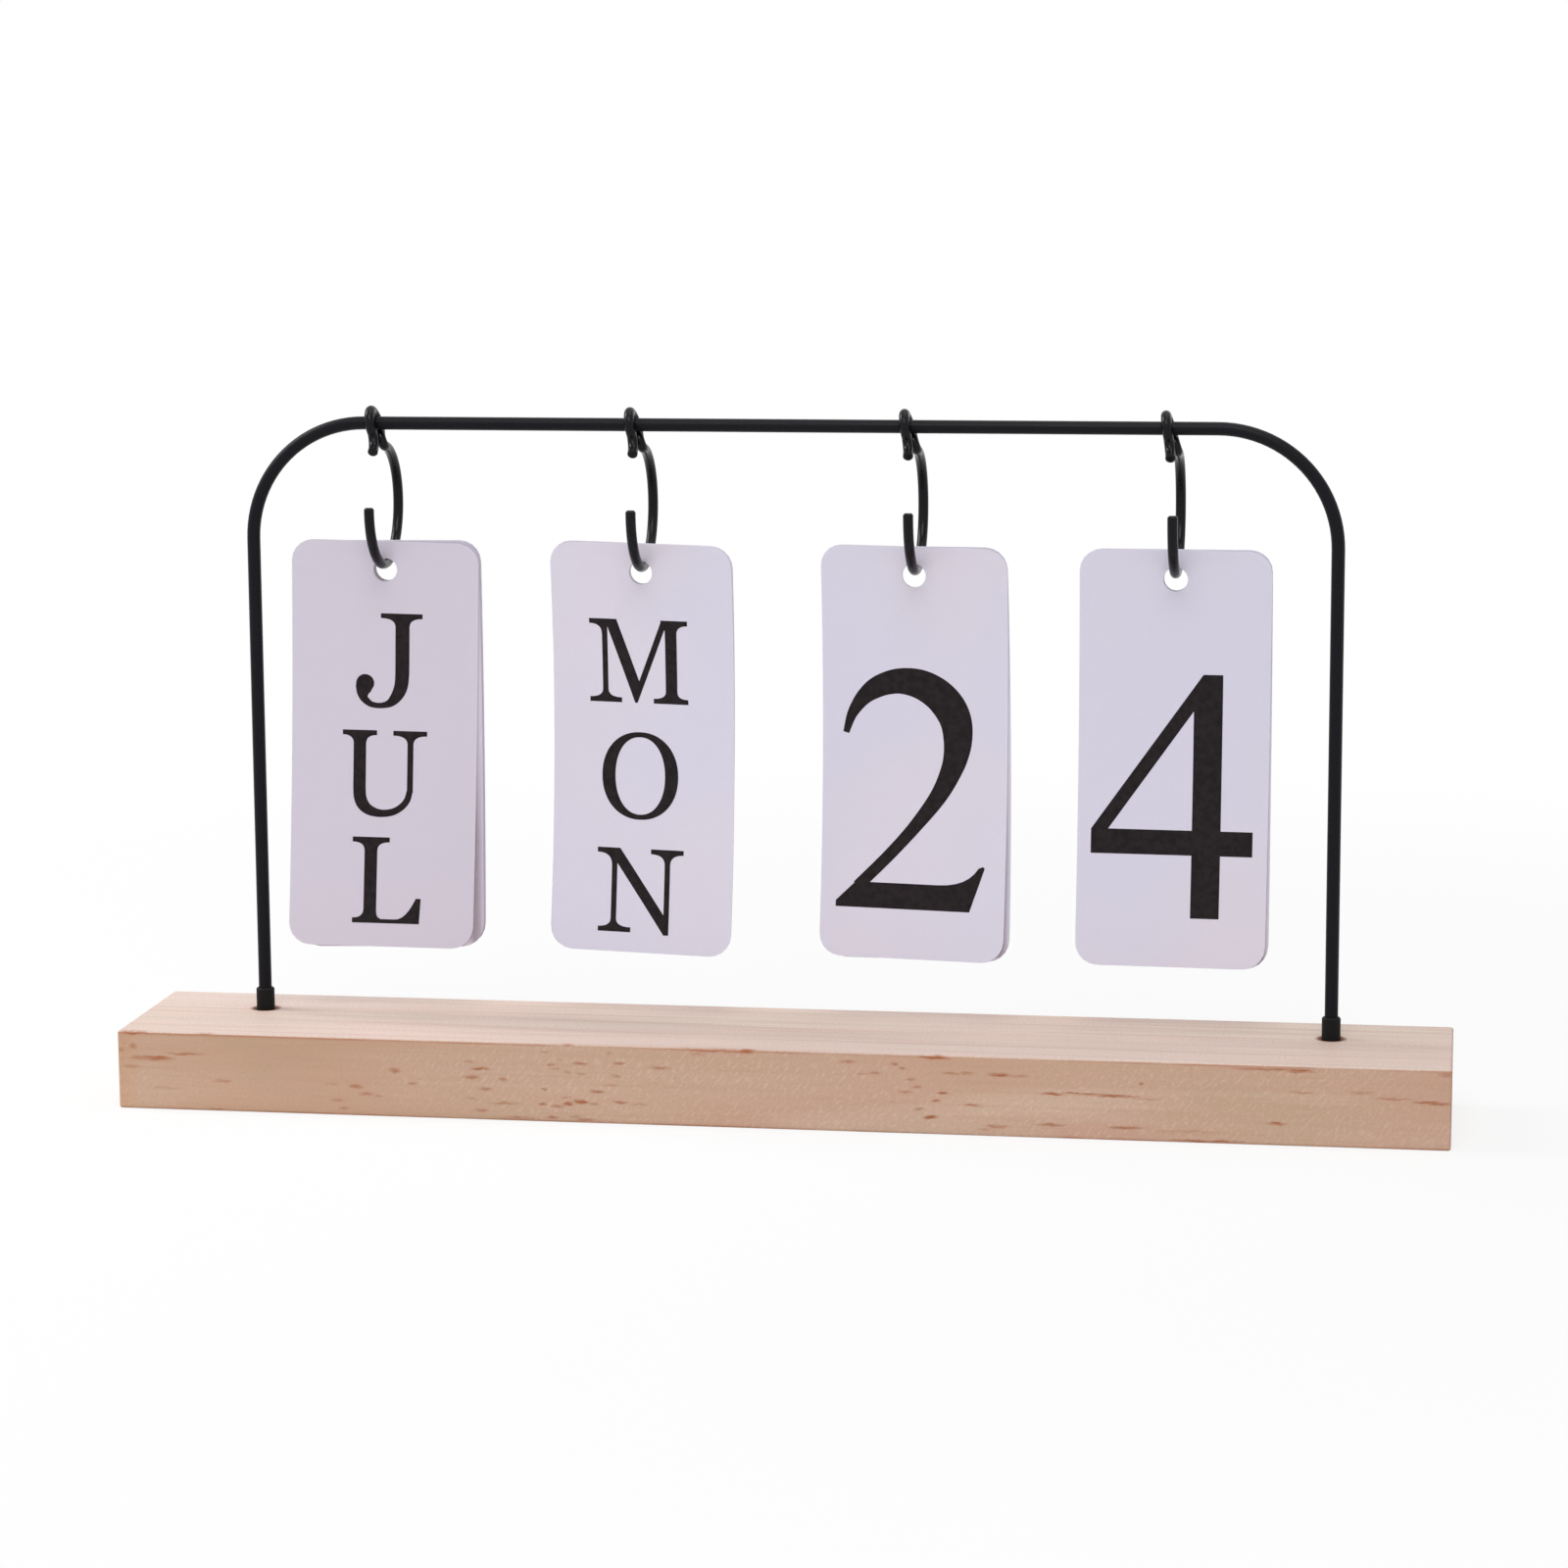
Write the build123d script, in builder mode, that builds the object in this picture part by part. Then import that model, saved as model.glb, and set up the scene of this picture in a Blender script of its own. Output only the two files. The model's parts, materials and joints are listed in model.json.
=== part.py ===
from build123d import *
import math
import os

os.makedirs("parts", exist_ok=True)

# Desk flip calendar: a pine bar carries a bent rod arch, and four open wire rings hang on the rod.
# Each ring holds a stack of punched cards that can be slid round the wire and off its open tip.
# X runs along the bar, the front faces -Y, Z is up, and the origin is under the middle of the bar.
# All sizes are in millimetres and degrees.

# Cards, all of one size
card_width = 42.5
card_height = 94.0
card_thickness = 0.35
card_corner_radius = 5.0
punch_diameter = 5.4
punch_edge_margin = 3.9

# Air between neighbouring cards in a stack, and between a card's punched hole and the wire it hangs on
card_air = 0.15
hang_air = 0.25

# Cards in each stack, front to back, from left to right
month_cards = 6
weekday_cards = 4
tens_cards = 2
units_cards = 5

# How far each stack hangs out of plumb, the front card alone and the cards behind it
month_front_lean = 1.9
month_rear_lean = 0.3
weekday_front_lean = 0.7
weekday_rear_lean = 1.0
tens_front_lean = 0.6
tens_rear_lean = -0.3
units_front_lean = 0.45
units_rear_lean = 0.0

# How far each stack is turned about the upright line through its wire, left edge forwards
month_turn = 8.0
weekday_turn = -5.5
tens_turn = -4.5
units_turn = 0.0

# How far each stack has slid to the right on its wire, which its wide holes allow
month_slide = 0.4
weekday_slide = -0.3
tens_slide = -0.4
units_slide = 0.0

# Gaps between the stacks, and from the outer stacks to the arch's legs, with the cards hung square
gap_left_leg = 7.95
gap_month_weekday = 17.2
gap_weekday_tens = 19.6
gap_tens_units = 15.5
gap_right_leg = 12.75

# Arch rod
rod_diameter = 3.0
rod_end_chamfer = 0.3
bar_past_hook = 4.2
arch_set_back = 6.0

# Hook wire: the open ring below, the eye that snaps round the bar, and the tail that guides it on
wire_diameter = 2.3
wire_end_chamfer = 0.4
ring_radius = 13.4
ring_turn = 264.0
eye_air = 0.25
neck_air = 0.12
neck_bend_radius = 1.6
eye_back_lean = 18.0
eye_front_lean = 8.0
tail_bend_radius = 3.5
tail_bend_turn = 50.0
tail_straight = 1.6

# Sleeves at the arch's feet
sleeve_wall = 0.55
sleeve_stand = 5.0
sleeve_rim_chamfer = 0.3
press_air = 0.05

# Base bar
base_depth = 44.0
base_height = 18.0
base_edge_radius = 0.6
foot_hole_mouth_chamfer = 0.7
wood_under_foot = 6.0
wood_past_leg = 27.0
card_ground_clearance = 15.6

# Radii and pitches that follow
rod_radius = rod_diameter / 2
wire_radius = wire_diameter / 2
punch_radius = punch_diameter / 2
card_pitch = card_thickness + card_air

# Eye: the back half leans away from the ring as it climbs, the front half leans back a little
back_lean_cosine = math.cos(math.radians(eye_back_lean))
front_lean_cosine = math.cos(math.radians(eye_front_lean))
eye_back_radius = rod_radius / back_lean_cosine + eye_air + wire_radius
eye_front_radius = eye_back_radius * back_lean_cosine / front_lean_cosine
neck_half_gap = wire_radius + neck_air / 2
bend_offset = neck_half_gap + neck_bend_radius
back_rise = math.sqrt((eye_back_radius + neck_bend_radius) ** 2 - bend_offset ** 2)
front_rise = math.sqrt((eye_front_radius + neck_bend_radius) ** 2 - bend_offset ** 2)
eye_above_neck = neck_bend_radius + back_rise
neck_drop = eye_above_neck * back_lean_cosine

# The ring's middle hangs straight under the bar, which turns the whole hook a little about the bar
ring_drop = math.hypot(bend_offset, neck_drop + ring_radius)
balance_turn = math.atan2(bend_offset, neck_drop + ring_radius)

# Heights, from the table up to the bar
card_bottom_z = base_height + card_ground_clearance
card_top_over_wire = wire_radius + hang_air + punch_edge_margin
ring_bottom_z = card_bottom_z + card_height - card_top_over_wire
ring_centre_z = ring_bottom_z + ring_radius
bar_z = ring_centre_z + ring_drop

# Positions along the bar
stack_gaps = gap_month_weekday + gap_weekday_tens + gap_tens_units
leg_clear_width = gap_left_leg + 4 * card_width + stack_gaps + gap_right_leg
leg_x = leg_clear_width / 2 + rod_radius
month_x = -leg_clear_width / 2 + gap_left_leg + card_width / 2
weekday_x = month_x + card_width + gap_month_weekday
tens_x = weekday_x + card_width + gap_weekday_tens
units_x = tens_x + card_width + gap_tens_units
base_length = 2 * (leg_x + wood_past_leg)
arch_y = arch_set_back

# The bend ends just short of the hook that hangs nearest to a leg
nearest_hook_to_leg = min(gap_left_leg, gap_right_leg) + rod_radius + card_width / 2
arch_bend_radius = nearest_hook_to_leg - bar_past_hook

# Feet
sleeve_bore_radius = rod_radius + press_air
sleeve_radius = sleeve_bore_radius + sleeve_wall
foot_hole_radius = sleeve_radius + press_air
foot_hole_depth = base_height - wood_under_foot


def save(piece, name):
    """Label a finished piece and write it as its own file."""
    piece.label = name
    export_step(piece, f"parts/{name}.step")
    print(name, "volume", round(piece.volume, 1), "mm3")


# Base: planed bar with softened edges and two blind holes for the feet, worn wide at the mouth
with BuildPart() as base:
    with BuildSketch():
        Rectangle(base_length, base_depth)
    extrude(amount=base_height)
    fillet(base.edges(), radius=base_edge_radius)
    with Locations((-leg_x, arch_y, base_height), (leg_x, arch_y, base_height)):
        Hole(radius=foot_hole_radius, depth=foot_hole_depth)
    hole_mouths = base.faces().filter_by(GeomType.CYLINDER).edges().filter_by(GeomType.CIRCLE)
    chamfer(hole_mouths.group_by(Axis.Z)[-1], length=foot_hole_mouth_chamfer)
save(base.part, "base")


# Wire arch: one rod, up from the floor of the left hole, over and down to the right one
with BuildPart() as wire_arch:
    with BuildLine(Plane.XZ.offset(-arch_y)) as arch_path:
        FilletPolyline(
            (-leg_x, wood_under_foot),
            (-leg_x, bar_z),
            (leg_x, bar_z),
            (leg_x, wood_under_foot),
            radius=arch_bend_radius,
        )
    with BuildSketch(Plane(origin=arch_path.line @ 0, z_dir=arch_path.line % 0)):
        Circle(rod_radius)
    sweep(path=arch_path.line)
    rod_ends = wire_arch.faces().filter_by(Axis.Z).edges()
    chamfer(rod_ends, length=rod_end_chamfer)
save(wire_arch.part, "wire_arch")


def foot_sleeve(name, foot_x):
    """A plain tube round the rod, from the floor of the blind hole to its rim above the wood."""
    with BuildPart() as sleeve:
        with BuildSketch(Plane.XY.offset(wood_under_foot)):
            with Locations((foot_x, arch_y)):
                Circle(sleeve_radius)
                Circle(sleeve_bore_radius, mode=Mode.SUBTRACT)
        extrude(amount=foot_hole_depth + sleeve_stand)
        outer_rim = sleeve.faces().sort_by(Axis.Z)[-1].outer_wire().edges()
        chamfer(outer_rim, length=sleeve_rim_chamfer)
    save(sleeve.part, name)


foot_sleeve("foot_sleeve_left", -leg_x)
foot_sleeve("foot_sleeve_right", leg_x)


def hook(name, hook_x):
    """One wire: an open ring, a neck bent up behind the bar, an eye over the bar, a flared tail.

    Each plane below has its first axis running forwards and its second axis running up. The ring
    lies square to the bar. The eye is two arcs that meet over the bar, each in a leaning plane, and
    the wires all but touch at the neck, so that the eye has to be sprung open to go on the bar.
    """
    forward = (0, -math.cos(balance_turn), math.sin(balance_turn))
    ring_plane = Plane(origin=(hook_x, arch_y, bar_z), x_dir=forward, z_dir=(-1, 0, 0))

    def leaning_plane(origin, lean):
        turn = math.radians(lean)
        normal = ring_plane.z_dir * math.cos(turn) - ring_plane.y_dir * math.sin(turn)
        return Plane(origin=origin, x_dir=forward, z_dir=normal)

    neck = ring_plane.from_local_coords((-bend_offset, -neck_drop))
    back_plane = leaning_plane(neck, eye_back_lean)
    crown = back_plane.from_local_coords((bend_offset, eye_above_neck + eye_back_radius))
    front_plane = leaning_plane(crown, eye_front_lean)
    back_angle = math.degrees(math.atan2(back_rise, bend_offset))
    front_angle = math.degrees(math.atan2(front_rise, bend_offset))
    neck_front_level = -eye_front_radius - front_rise

    with BuildPart() as bent_wire:
        with BuildLine(ring_plane) as ring:
            CenterArc((-bend_offset, -neck_drop - ring_radius), ring_radius, 90 + ring_turn, -ring_turn)
        with BuildLine(back_plane) as eye_back:
            CenterArc((0, neck_bend_radius), neck_bend_radius, -90, 90 + back_angle)
            CenterArc((bend_offset, eye_above_neck), eye_back_radius, 180 + back_angle, -90 - back_angle)
        with BuildLine(front_plane) as eye_front:
            CenterArc((0, -eye_front_radius), eye_front_radius, 90, -90 - front_angle)
            CenterArc((bend_offset, neck_front_level), neck_bend_radius, 180 - front_angle, front_angle)
            tail_bend = CenterArc((neck_half_gap + tail_bend_radius, neck_front_level),
                                  tail_bend_radius, 180, tail_bend_turn)
        with BuildLine() as tail:
            Line(tail_bend @ 1, tail_bend @ 1 + tail_straight * (tail_bend % 1))
        wire_path = Wire(ring.edges() + eye_back.edges() + eye_front.edges() + tail.edges())
        with BuildSketch(Plane(origin=wire_path @ 0, z_dir=wire_path % 0)):
            Circle(wire_radius)
        sweep(path=wire_path)
        wire_ends = bent_wire.faces().filter_by(GeomType.PLANE).edges()
        chamfer(wire_ends, length=wire_end_chamfer)
    save(bent_wire.part, name)


def card(name, hook_x, card_y, lean, turn, slide):
    """One rounded card, punched near its top edge, hanging with its hole's rim over the wire.

    A lean above zero swings the foot of the card to the left about the wire. A card that has slid
    to one side rides up on the rim of its round hole.
    """
    facing = Vector(0, -1, 0).rotate(Axis.Z, turn)
    right = Vector(1, 0, 0).rotate(Axis.Z, turn).rotate(Axis((0, 0, 0), facing), -lean)
    wire_point = Vector(hook_x, card_y, ring_bottom_z)
    back_face = Plane(origin=wire_point - facing * card_thickness / 2, x_dir=right, z_dir=facing)
    hole_level = -math.sqrt((punch_radius - wire_radius - hang_air) ** 2 - slide ** 2)
    card_level = hole_level + punch_radius + punch_edge_margin - card_height / 2
    with BuildPart() as leaf:
        with BuildSketch(back_face):
            with Locations((slide, card_level)):
                RectangleRounded(card_width, card_height, card_corner_radius)
            with Locations((slide, hole_level)):
                Circle(punch_radius, mode=Mode.SUBTRACT)
        extrude(amount=card_thickness)
    save(leaf.part, name)


def stack(name, hook_x, cards, front_lean, rear_lean, turn, slide):
    """A hook and its cards, numbered from the front, centred on the lowest point of the ring."""
    hook(f"{name}_hook", hook_x)
    front_y = arch_y - card_pitch * (cards - 1) / 2
    for place in range(cards):
        lean = front_lean if place == 0 else rear_lean
        card(f"{name}_card_{place + 1}", hook_x, front_y + place * card_pitch, lean, turn, slide)


stack("month", month_x, month_cards, month_front_lean, month_rear_lean, month_turn, month_slide)
stack("weekday", weekday_x, weekday_cards, weekday_front_lean, weekday_rear_lean, weekday_turn,
      weekday_slide)
stack("tens", tens_x, tens_cards, tens_front_lean, tens_rear_lean, tens_turn, tens_slide)
stack("units", units_x, units_cards, units_front_lean, units_rear_lean, units_turn, units_slide)

print("base length", base_length, "bar axis", bar_z, "legs at", leg_x, "bend", arch_bend_radius)
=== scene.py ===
# %% [markdown]
# # A desk flip calendar
# A pine bar carries a bent black rod. Four open wire rings hang on the rod, and each holds a small
# stack of punched cards that are turned over by hand. The bar, the sleeves and the rings come from
# the construction model and only get a finish here. The rod and the cards are made again as smoother
# surfaces, because a real card is never flat, and the print is laid on the cards as thin ink.

# %% Load the fixed frame
import bpy
import json
import math
import numpy as np
from mathutils import Matrix, Vector
from mathutils.geometry import delaunay_2d_cdt

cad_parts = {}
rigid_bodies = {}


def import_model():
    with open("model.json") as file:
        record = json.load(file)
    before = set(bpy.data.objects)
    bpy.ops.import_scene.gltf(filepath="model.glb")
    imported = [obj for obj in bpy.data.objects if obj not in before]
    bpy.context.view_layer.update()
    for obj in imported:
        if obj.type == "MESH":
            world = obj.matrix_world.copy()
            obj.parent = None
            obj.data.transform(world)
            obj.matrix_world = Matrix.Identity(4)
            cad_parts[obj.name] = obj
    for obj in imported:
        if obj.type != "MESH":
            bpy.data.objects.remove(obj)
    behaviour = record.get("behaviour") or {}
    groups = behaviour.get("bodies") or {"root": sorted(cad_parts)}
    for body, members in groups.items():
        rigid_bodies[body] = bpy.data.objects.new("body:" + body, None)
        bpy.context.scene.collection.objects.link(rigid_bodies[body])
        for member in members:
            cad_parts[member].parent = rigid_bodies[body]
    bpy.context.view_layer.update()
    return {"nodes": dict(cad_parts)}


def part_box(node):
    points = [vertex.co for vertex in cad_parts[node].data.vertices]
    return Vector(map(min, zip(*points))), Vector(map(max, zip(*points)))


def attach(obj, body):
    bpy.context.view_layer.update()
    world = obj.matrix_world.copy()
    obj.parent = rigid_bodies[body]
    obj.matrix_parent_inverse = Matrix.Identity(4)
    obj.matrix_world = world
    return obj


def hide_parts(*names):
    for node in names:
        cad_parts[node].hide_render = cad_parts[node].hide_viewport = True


for leftover in list(bpy.data.objects):
    bpy.data.objects.remove(leftover)
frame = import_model()
MM = 0.001

# %% [markdown]
# ## The camera
# The view is the one a reader has: a little above the bar, a little to its right, through a long
# lens, so that the rod and the bar's edges stay almost parallel. A camera is a place, three turns
# and a focal length. The focal length is given in pixels of a square picture, and the lens follows
# from it and the sensor's width.

# %% Place the camera
picture_pixels = 1600
focal_pixels = 4377.3
sensor_width = 36.0
camera_place = Vector((151.14, -939.34, 229.95)) * MM
camera_yaw = math.radians(9.119)
camera_pitch = math.radians(9.293)
camera_roll = math.radians(-0.336)

camera_data = bpy.data.cameras.new("reader_view")
camera_data.sensor_width = sensor_width
camera_data.lens = focal_pixels / picture_pixels * sensor_width
camera_data.clip_start = 0.05
camera_data.clip_end = 20.0
camera = bpy.data.objects.new("reader_view", camera_data)
level_turn = Matrix.Rotation(camera_yaw, 4, "Z")
upright_turn = Matrix.Rotation(math.pi / 2 - camera_pitch, 4, "X")
roll_turn = Matrix.Rotation(camera_roll, 4, "Z")
camera.matrix_world = Matrix.Translation(camera_place) @ level_turn @ upright_turn @ roll_turn
bpy.context.scene.collection.objects.link(camera)
bpy.context.scene.camera = camera
bpy.context.scene.view_settings.view_transform = "Standard"
print("lens in millimetres:", round(camera_data.lens, 2))

# %% [markdown]
# ## Small helpers for finishes
# A finish is a chain of nodes, and short helpers keep it short to read. One makes a node and fills
# its sockets with numbers or with other nodes' results. One turns given colours into the linear
# values that a shader wants. The others give places, noise, sums and blends. A result knows
# the tree of nodes it belongs to, so only the helpers that start a chain are told the tree.

# %% Node helpers
def seen(red, green, blue):
    """A colour given as 0 to 255, made linear: each share is raised by the screen's curve."""
    shares = np.array([red, green, blue]) / 255
    linear = np.where(shares <= 0.04045, shares / 12.92, ((shares + 0.055) / 1.055) ** 2.4)
    return (*linear.tolist(), 1.0)


def add(tree, kind, sockets=None, **settings):
    """One node. Sockets are given by name or number, as a value or as another node's output."""
    made = tree.nodes.new(kind)
    for setting, value in settings.items():
        setattr(made, setting, value)
    for socket, value in (sockets or {}).items():
        if isinstance(value, bpy.types.NodeSocket):
            tree.links.new(value, made.inputs[socket])
        else:
            made.inputs[socket].default_value = value
    return made


def own_place(tree, stretch=(1, 1, 1), shift=(0, 0, 0), turn=(0, 0, 0)):
    """The point's place on the object, in metres, first turned, then stretched, then shifted."""
    place = add(tree, "ShaderNodeTexCoord").outputs["Object"]
    place = add(tree, "ShaderNodeMapping", {"Vector": place, "Rotation": turn}).outputs[0]
    return add(tree, "ShaderNodeMapping", {"Vector": place, "Location": shift, "Scale": stretch}).outputs[0]


def cloud(place, scale=1.0, detail=2.0, roughness=0.5):
    """Smooth noise between 0 and 1, mostly near a half."""
    sockets = {"Vector": place, "Scale": scale, "Detail": detail, "Roughness": roughness}
    return add(place.id_data, "ShaderNodeTexNoise", sockets).outputs[0]


def maths(operation, first, second=0.0):
    """One sum on two numbers, at least one of them another node's result."""
    known = first if isinstance(first, bpy.types.NodeSocket) else second
    return add(known.id_data, "ShaderNodeMath", {0: first, 1: second}, operation=operation).outputs[0]


def times(first, second):
    """Two numbers multiplied."""
    return maths("MULTIPLY", first, second)


def rest_of(share):
    """What a share leaves of one."""
    return maths("SUBTRACT", 1.0, share)


def vectors(operation, first, *others):
    """One sum on places. The length of one comes out as a plain number."""
    sockets = dict(enumerate((first, *others)))
    made = add(first.id_data, "ShaderNodeVectorMath", sockets, operation=operation)
    return made.outputs["Value" if operation == "LENGTH" else "Vector"]


def between(value, low, high, to_low=0.0, to_high=1.0):
    """The value's way from low to high as an eased way from to_low to to_high."""
    sockets = {0: value, 1: low, 2: high, 3: to_low, 4: to_high}
    return add(value.id_data, "ShaderNodeMapRange", sockets, interpolation_type="SMOOTHSTEP").outputs[0]


def blend_colours(share, first, second):
    """The second colour laid over the first by its share."""
    sockets = {0: share, 6: first, 7: second}
    return add(share.id_data, "ShaderNodeMix", sockets, data_type="RGBA").outputs[2]


def patches(colour, noise, low, high, most, tone):
    """A tone laid over a colour in patches: none of it where the noise is low, most where it is high."""
    return blend_colours(between(noise, low, high, 0.0, most), colour, tone)


def start_finish(name):
    """A material with one shader wired to its output."""
    material = bpy.data.materials.new(name)
    material.use_nodes = True
    tree = material.node_tree
    tree.nodes.clear()
    shader = add(tree, "ShaderNodeBsdfPrincipled")
    add(tree, "ShaderNodeOutputMaterial", {"Surface": shader.outputs[0]})
    return material, tree, shader


def coat(shader, colour, roughness, shine, height=None, depth=0.0):
    """Wire colour and roughness to a shader, and let a height, times a depth in metres, tilt it."""
    tree = shader.id_data
    tree.links.new(colour, shader.inputs["Base Color"])
    tree.links.new(roughness, shader.inputs["Roughness"])
    shader.inputs["Specular IOR Level"].default_value = shine
    if height is not None:
        sockets = {"Height": height, "Distance": depth, "Strength": 1.0}
        tree.links.new(add(tree, "ShaderNodeBump", sockets).outputs[0], shader.inputs["Normal"])


print("a middle grey, made linear:", round(seen(128, 128, 128)[0], 3))

# %% [markdown]
# ## Floor and light
# The object stands on a pale floor in a plain bright room. The room's glow is soft and even, so a
# colour comes out about as it is written. A window on the left, in the plane of the cards, lays a
# soft shadow of each foot along the bar, and two broad panels in front and above fill it up again.
# What a camera or a mirror sees of the room and the far floor is plain white. Near the object the
# floor also takes light like paint does, so it keeps a soft shadow.

# %% Light the room
room_glow = 0.30


def white_to_the_eye(tree):
    """1 for a ray from the camera, a mirror or glass, and 0 for a ray that carries light."""
    rays = add(tree, "ShaderNodeLightPath").outputs
    direct = maths("MAXIMUM", rays["Is Camera Ray"], rays["Is Glossy Ray"])
    return maths("MAXIMUM", direct, rays["Is Transmission Ray"])


world = bpy.data.worlds.new("bright_room")
world.use_nodes = True
bpy.context.scene.world = world
room = world.node_tree
room.nodes.clear()
glow = add(room, "ShaderNodeBackground", {"Color": (0.97, 0.985, 1.0, 1.0), "Strength": room_glow})
paper_white = add(room, "ShaderNodeBackground", {"Color": (1.0, 1.0, 1.0, 1.0), "Strength": 1.0})
sky_sockets = {0: white_to_the_eye(room), 1: glow.outputs[0], 2: paper_white.outputs[0]}
sky = add(room, "ShaderNodeMixShader", sky_sockets)
add(room, "ShaderNodeOutputWorld", {"Surface": sky.outputs[0]})


def soft_lamp(name, place, power, size, aim=(0.0, 0.0, 0.08)):
    """A square lamp, its power in watts and its size in metres, that faces the point aim."""
    data = bpy.data.lights.new(name, "AREA")
    data.energy = power
    data.size = size
    lamp = bpy.data.objects.new(name, data)
    direction = Vector(aim) - Vector(place)
    lamp.matrix_world = Matrix.Translation(place) @ direction.to_track_quat("-Z", "Y").to_matrix().to_4x4()
    bpy.context.scene.collection.objects.link(lamp)


soft_lamp("window", (-0.78, 0.07, 0.72), 4.6, 0.42)
soft_lamp("front_panel", (0.05, -1.20, 1.45), 12.5, 0.9)
soft_lamp("ceiling_panel", (0.25, 0.10, 1.60), 5.0, 1.1)
print("room glow", room_glow)

# %% Lay the floor
floor_radius = 2.0
shadow_share = 0.20
fade_start, fade_end = 0.16, 0.55

around = np.linspace(0, 2 * np.pi, 96, endpoint=False)
rim = np.stack([floor_radius * np.cos(around), floor_radius * np.sin(around), 0 * around], axis=1)
floor_mesh = bpy.data.meshes.new("floor")
floor_mesh.from_pydata(rim.tolist(), [], [list(range(len(rim)))])
floor = bpy.data.objects.new("floor", floor_mesh)
bpy.context.scene.collection.objects.link(floor)

floor_paint, floor_tree, floor_shader = start_finish("pale_floor")
floor_shader.inputs["Base Color"].default_value = (0.93, 0.93, 0.93, 1.0)
floor_shader.inputs["Roughness"].default_value = 0.9
floor_shader.inputs["Specular IOR Level"].default_value = 0.0
floor_lit = add(floor_tree, "ShaderNodeEmission", {"Color": (1.0, 1.0, 1.0, 1.0), "Strength": 1.0})
floor_distance = vectors("LENGTH", own_place(floor_tree))
floor_share = between(floor_distance, fade_start, fade_end, 1 - shadow_share, 1.0)
floor_white = times(floor_share, white_to_the_eye(floor_tree))
floor_sockets = {0: floor_white, 1: floor_shader.outputs[0], 2: floor_lit.outputs[0]}
floor_mix = add(floor_tree, "ShaderNodeMixShader", floor_sockets)
floor_out = [node for node in floor_tree.nodes if node.type == "OUTPUT_MATERIAL"][0]
floor_tree.links.new(floor_mix.outputs[0], floor_out.inputs["Surface"])
floor_mesh.materials.append(floor_paint)
print("floor of radius", floor_radius, "metres")
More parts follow.
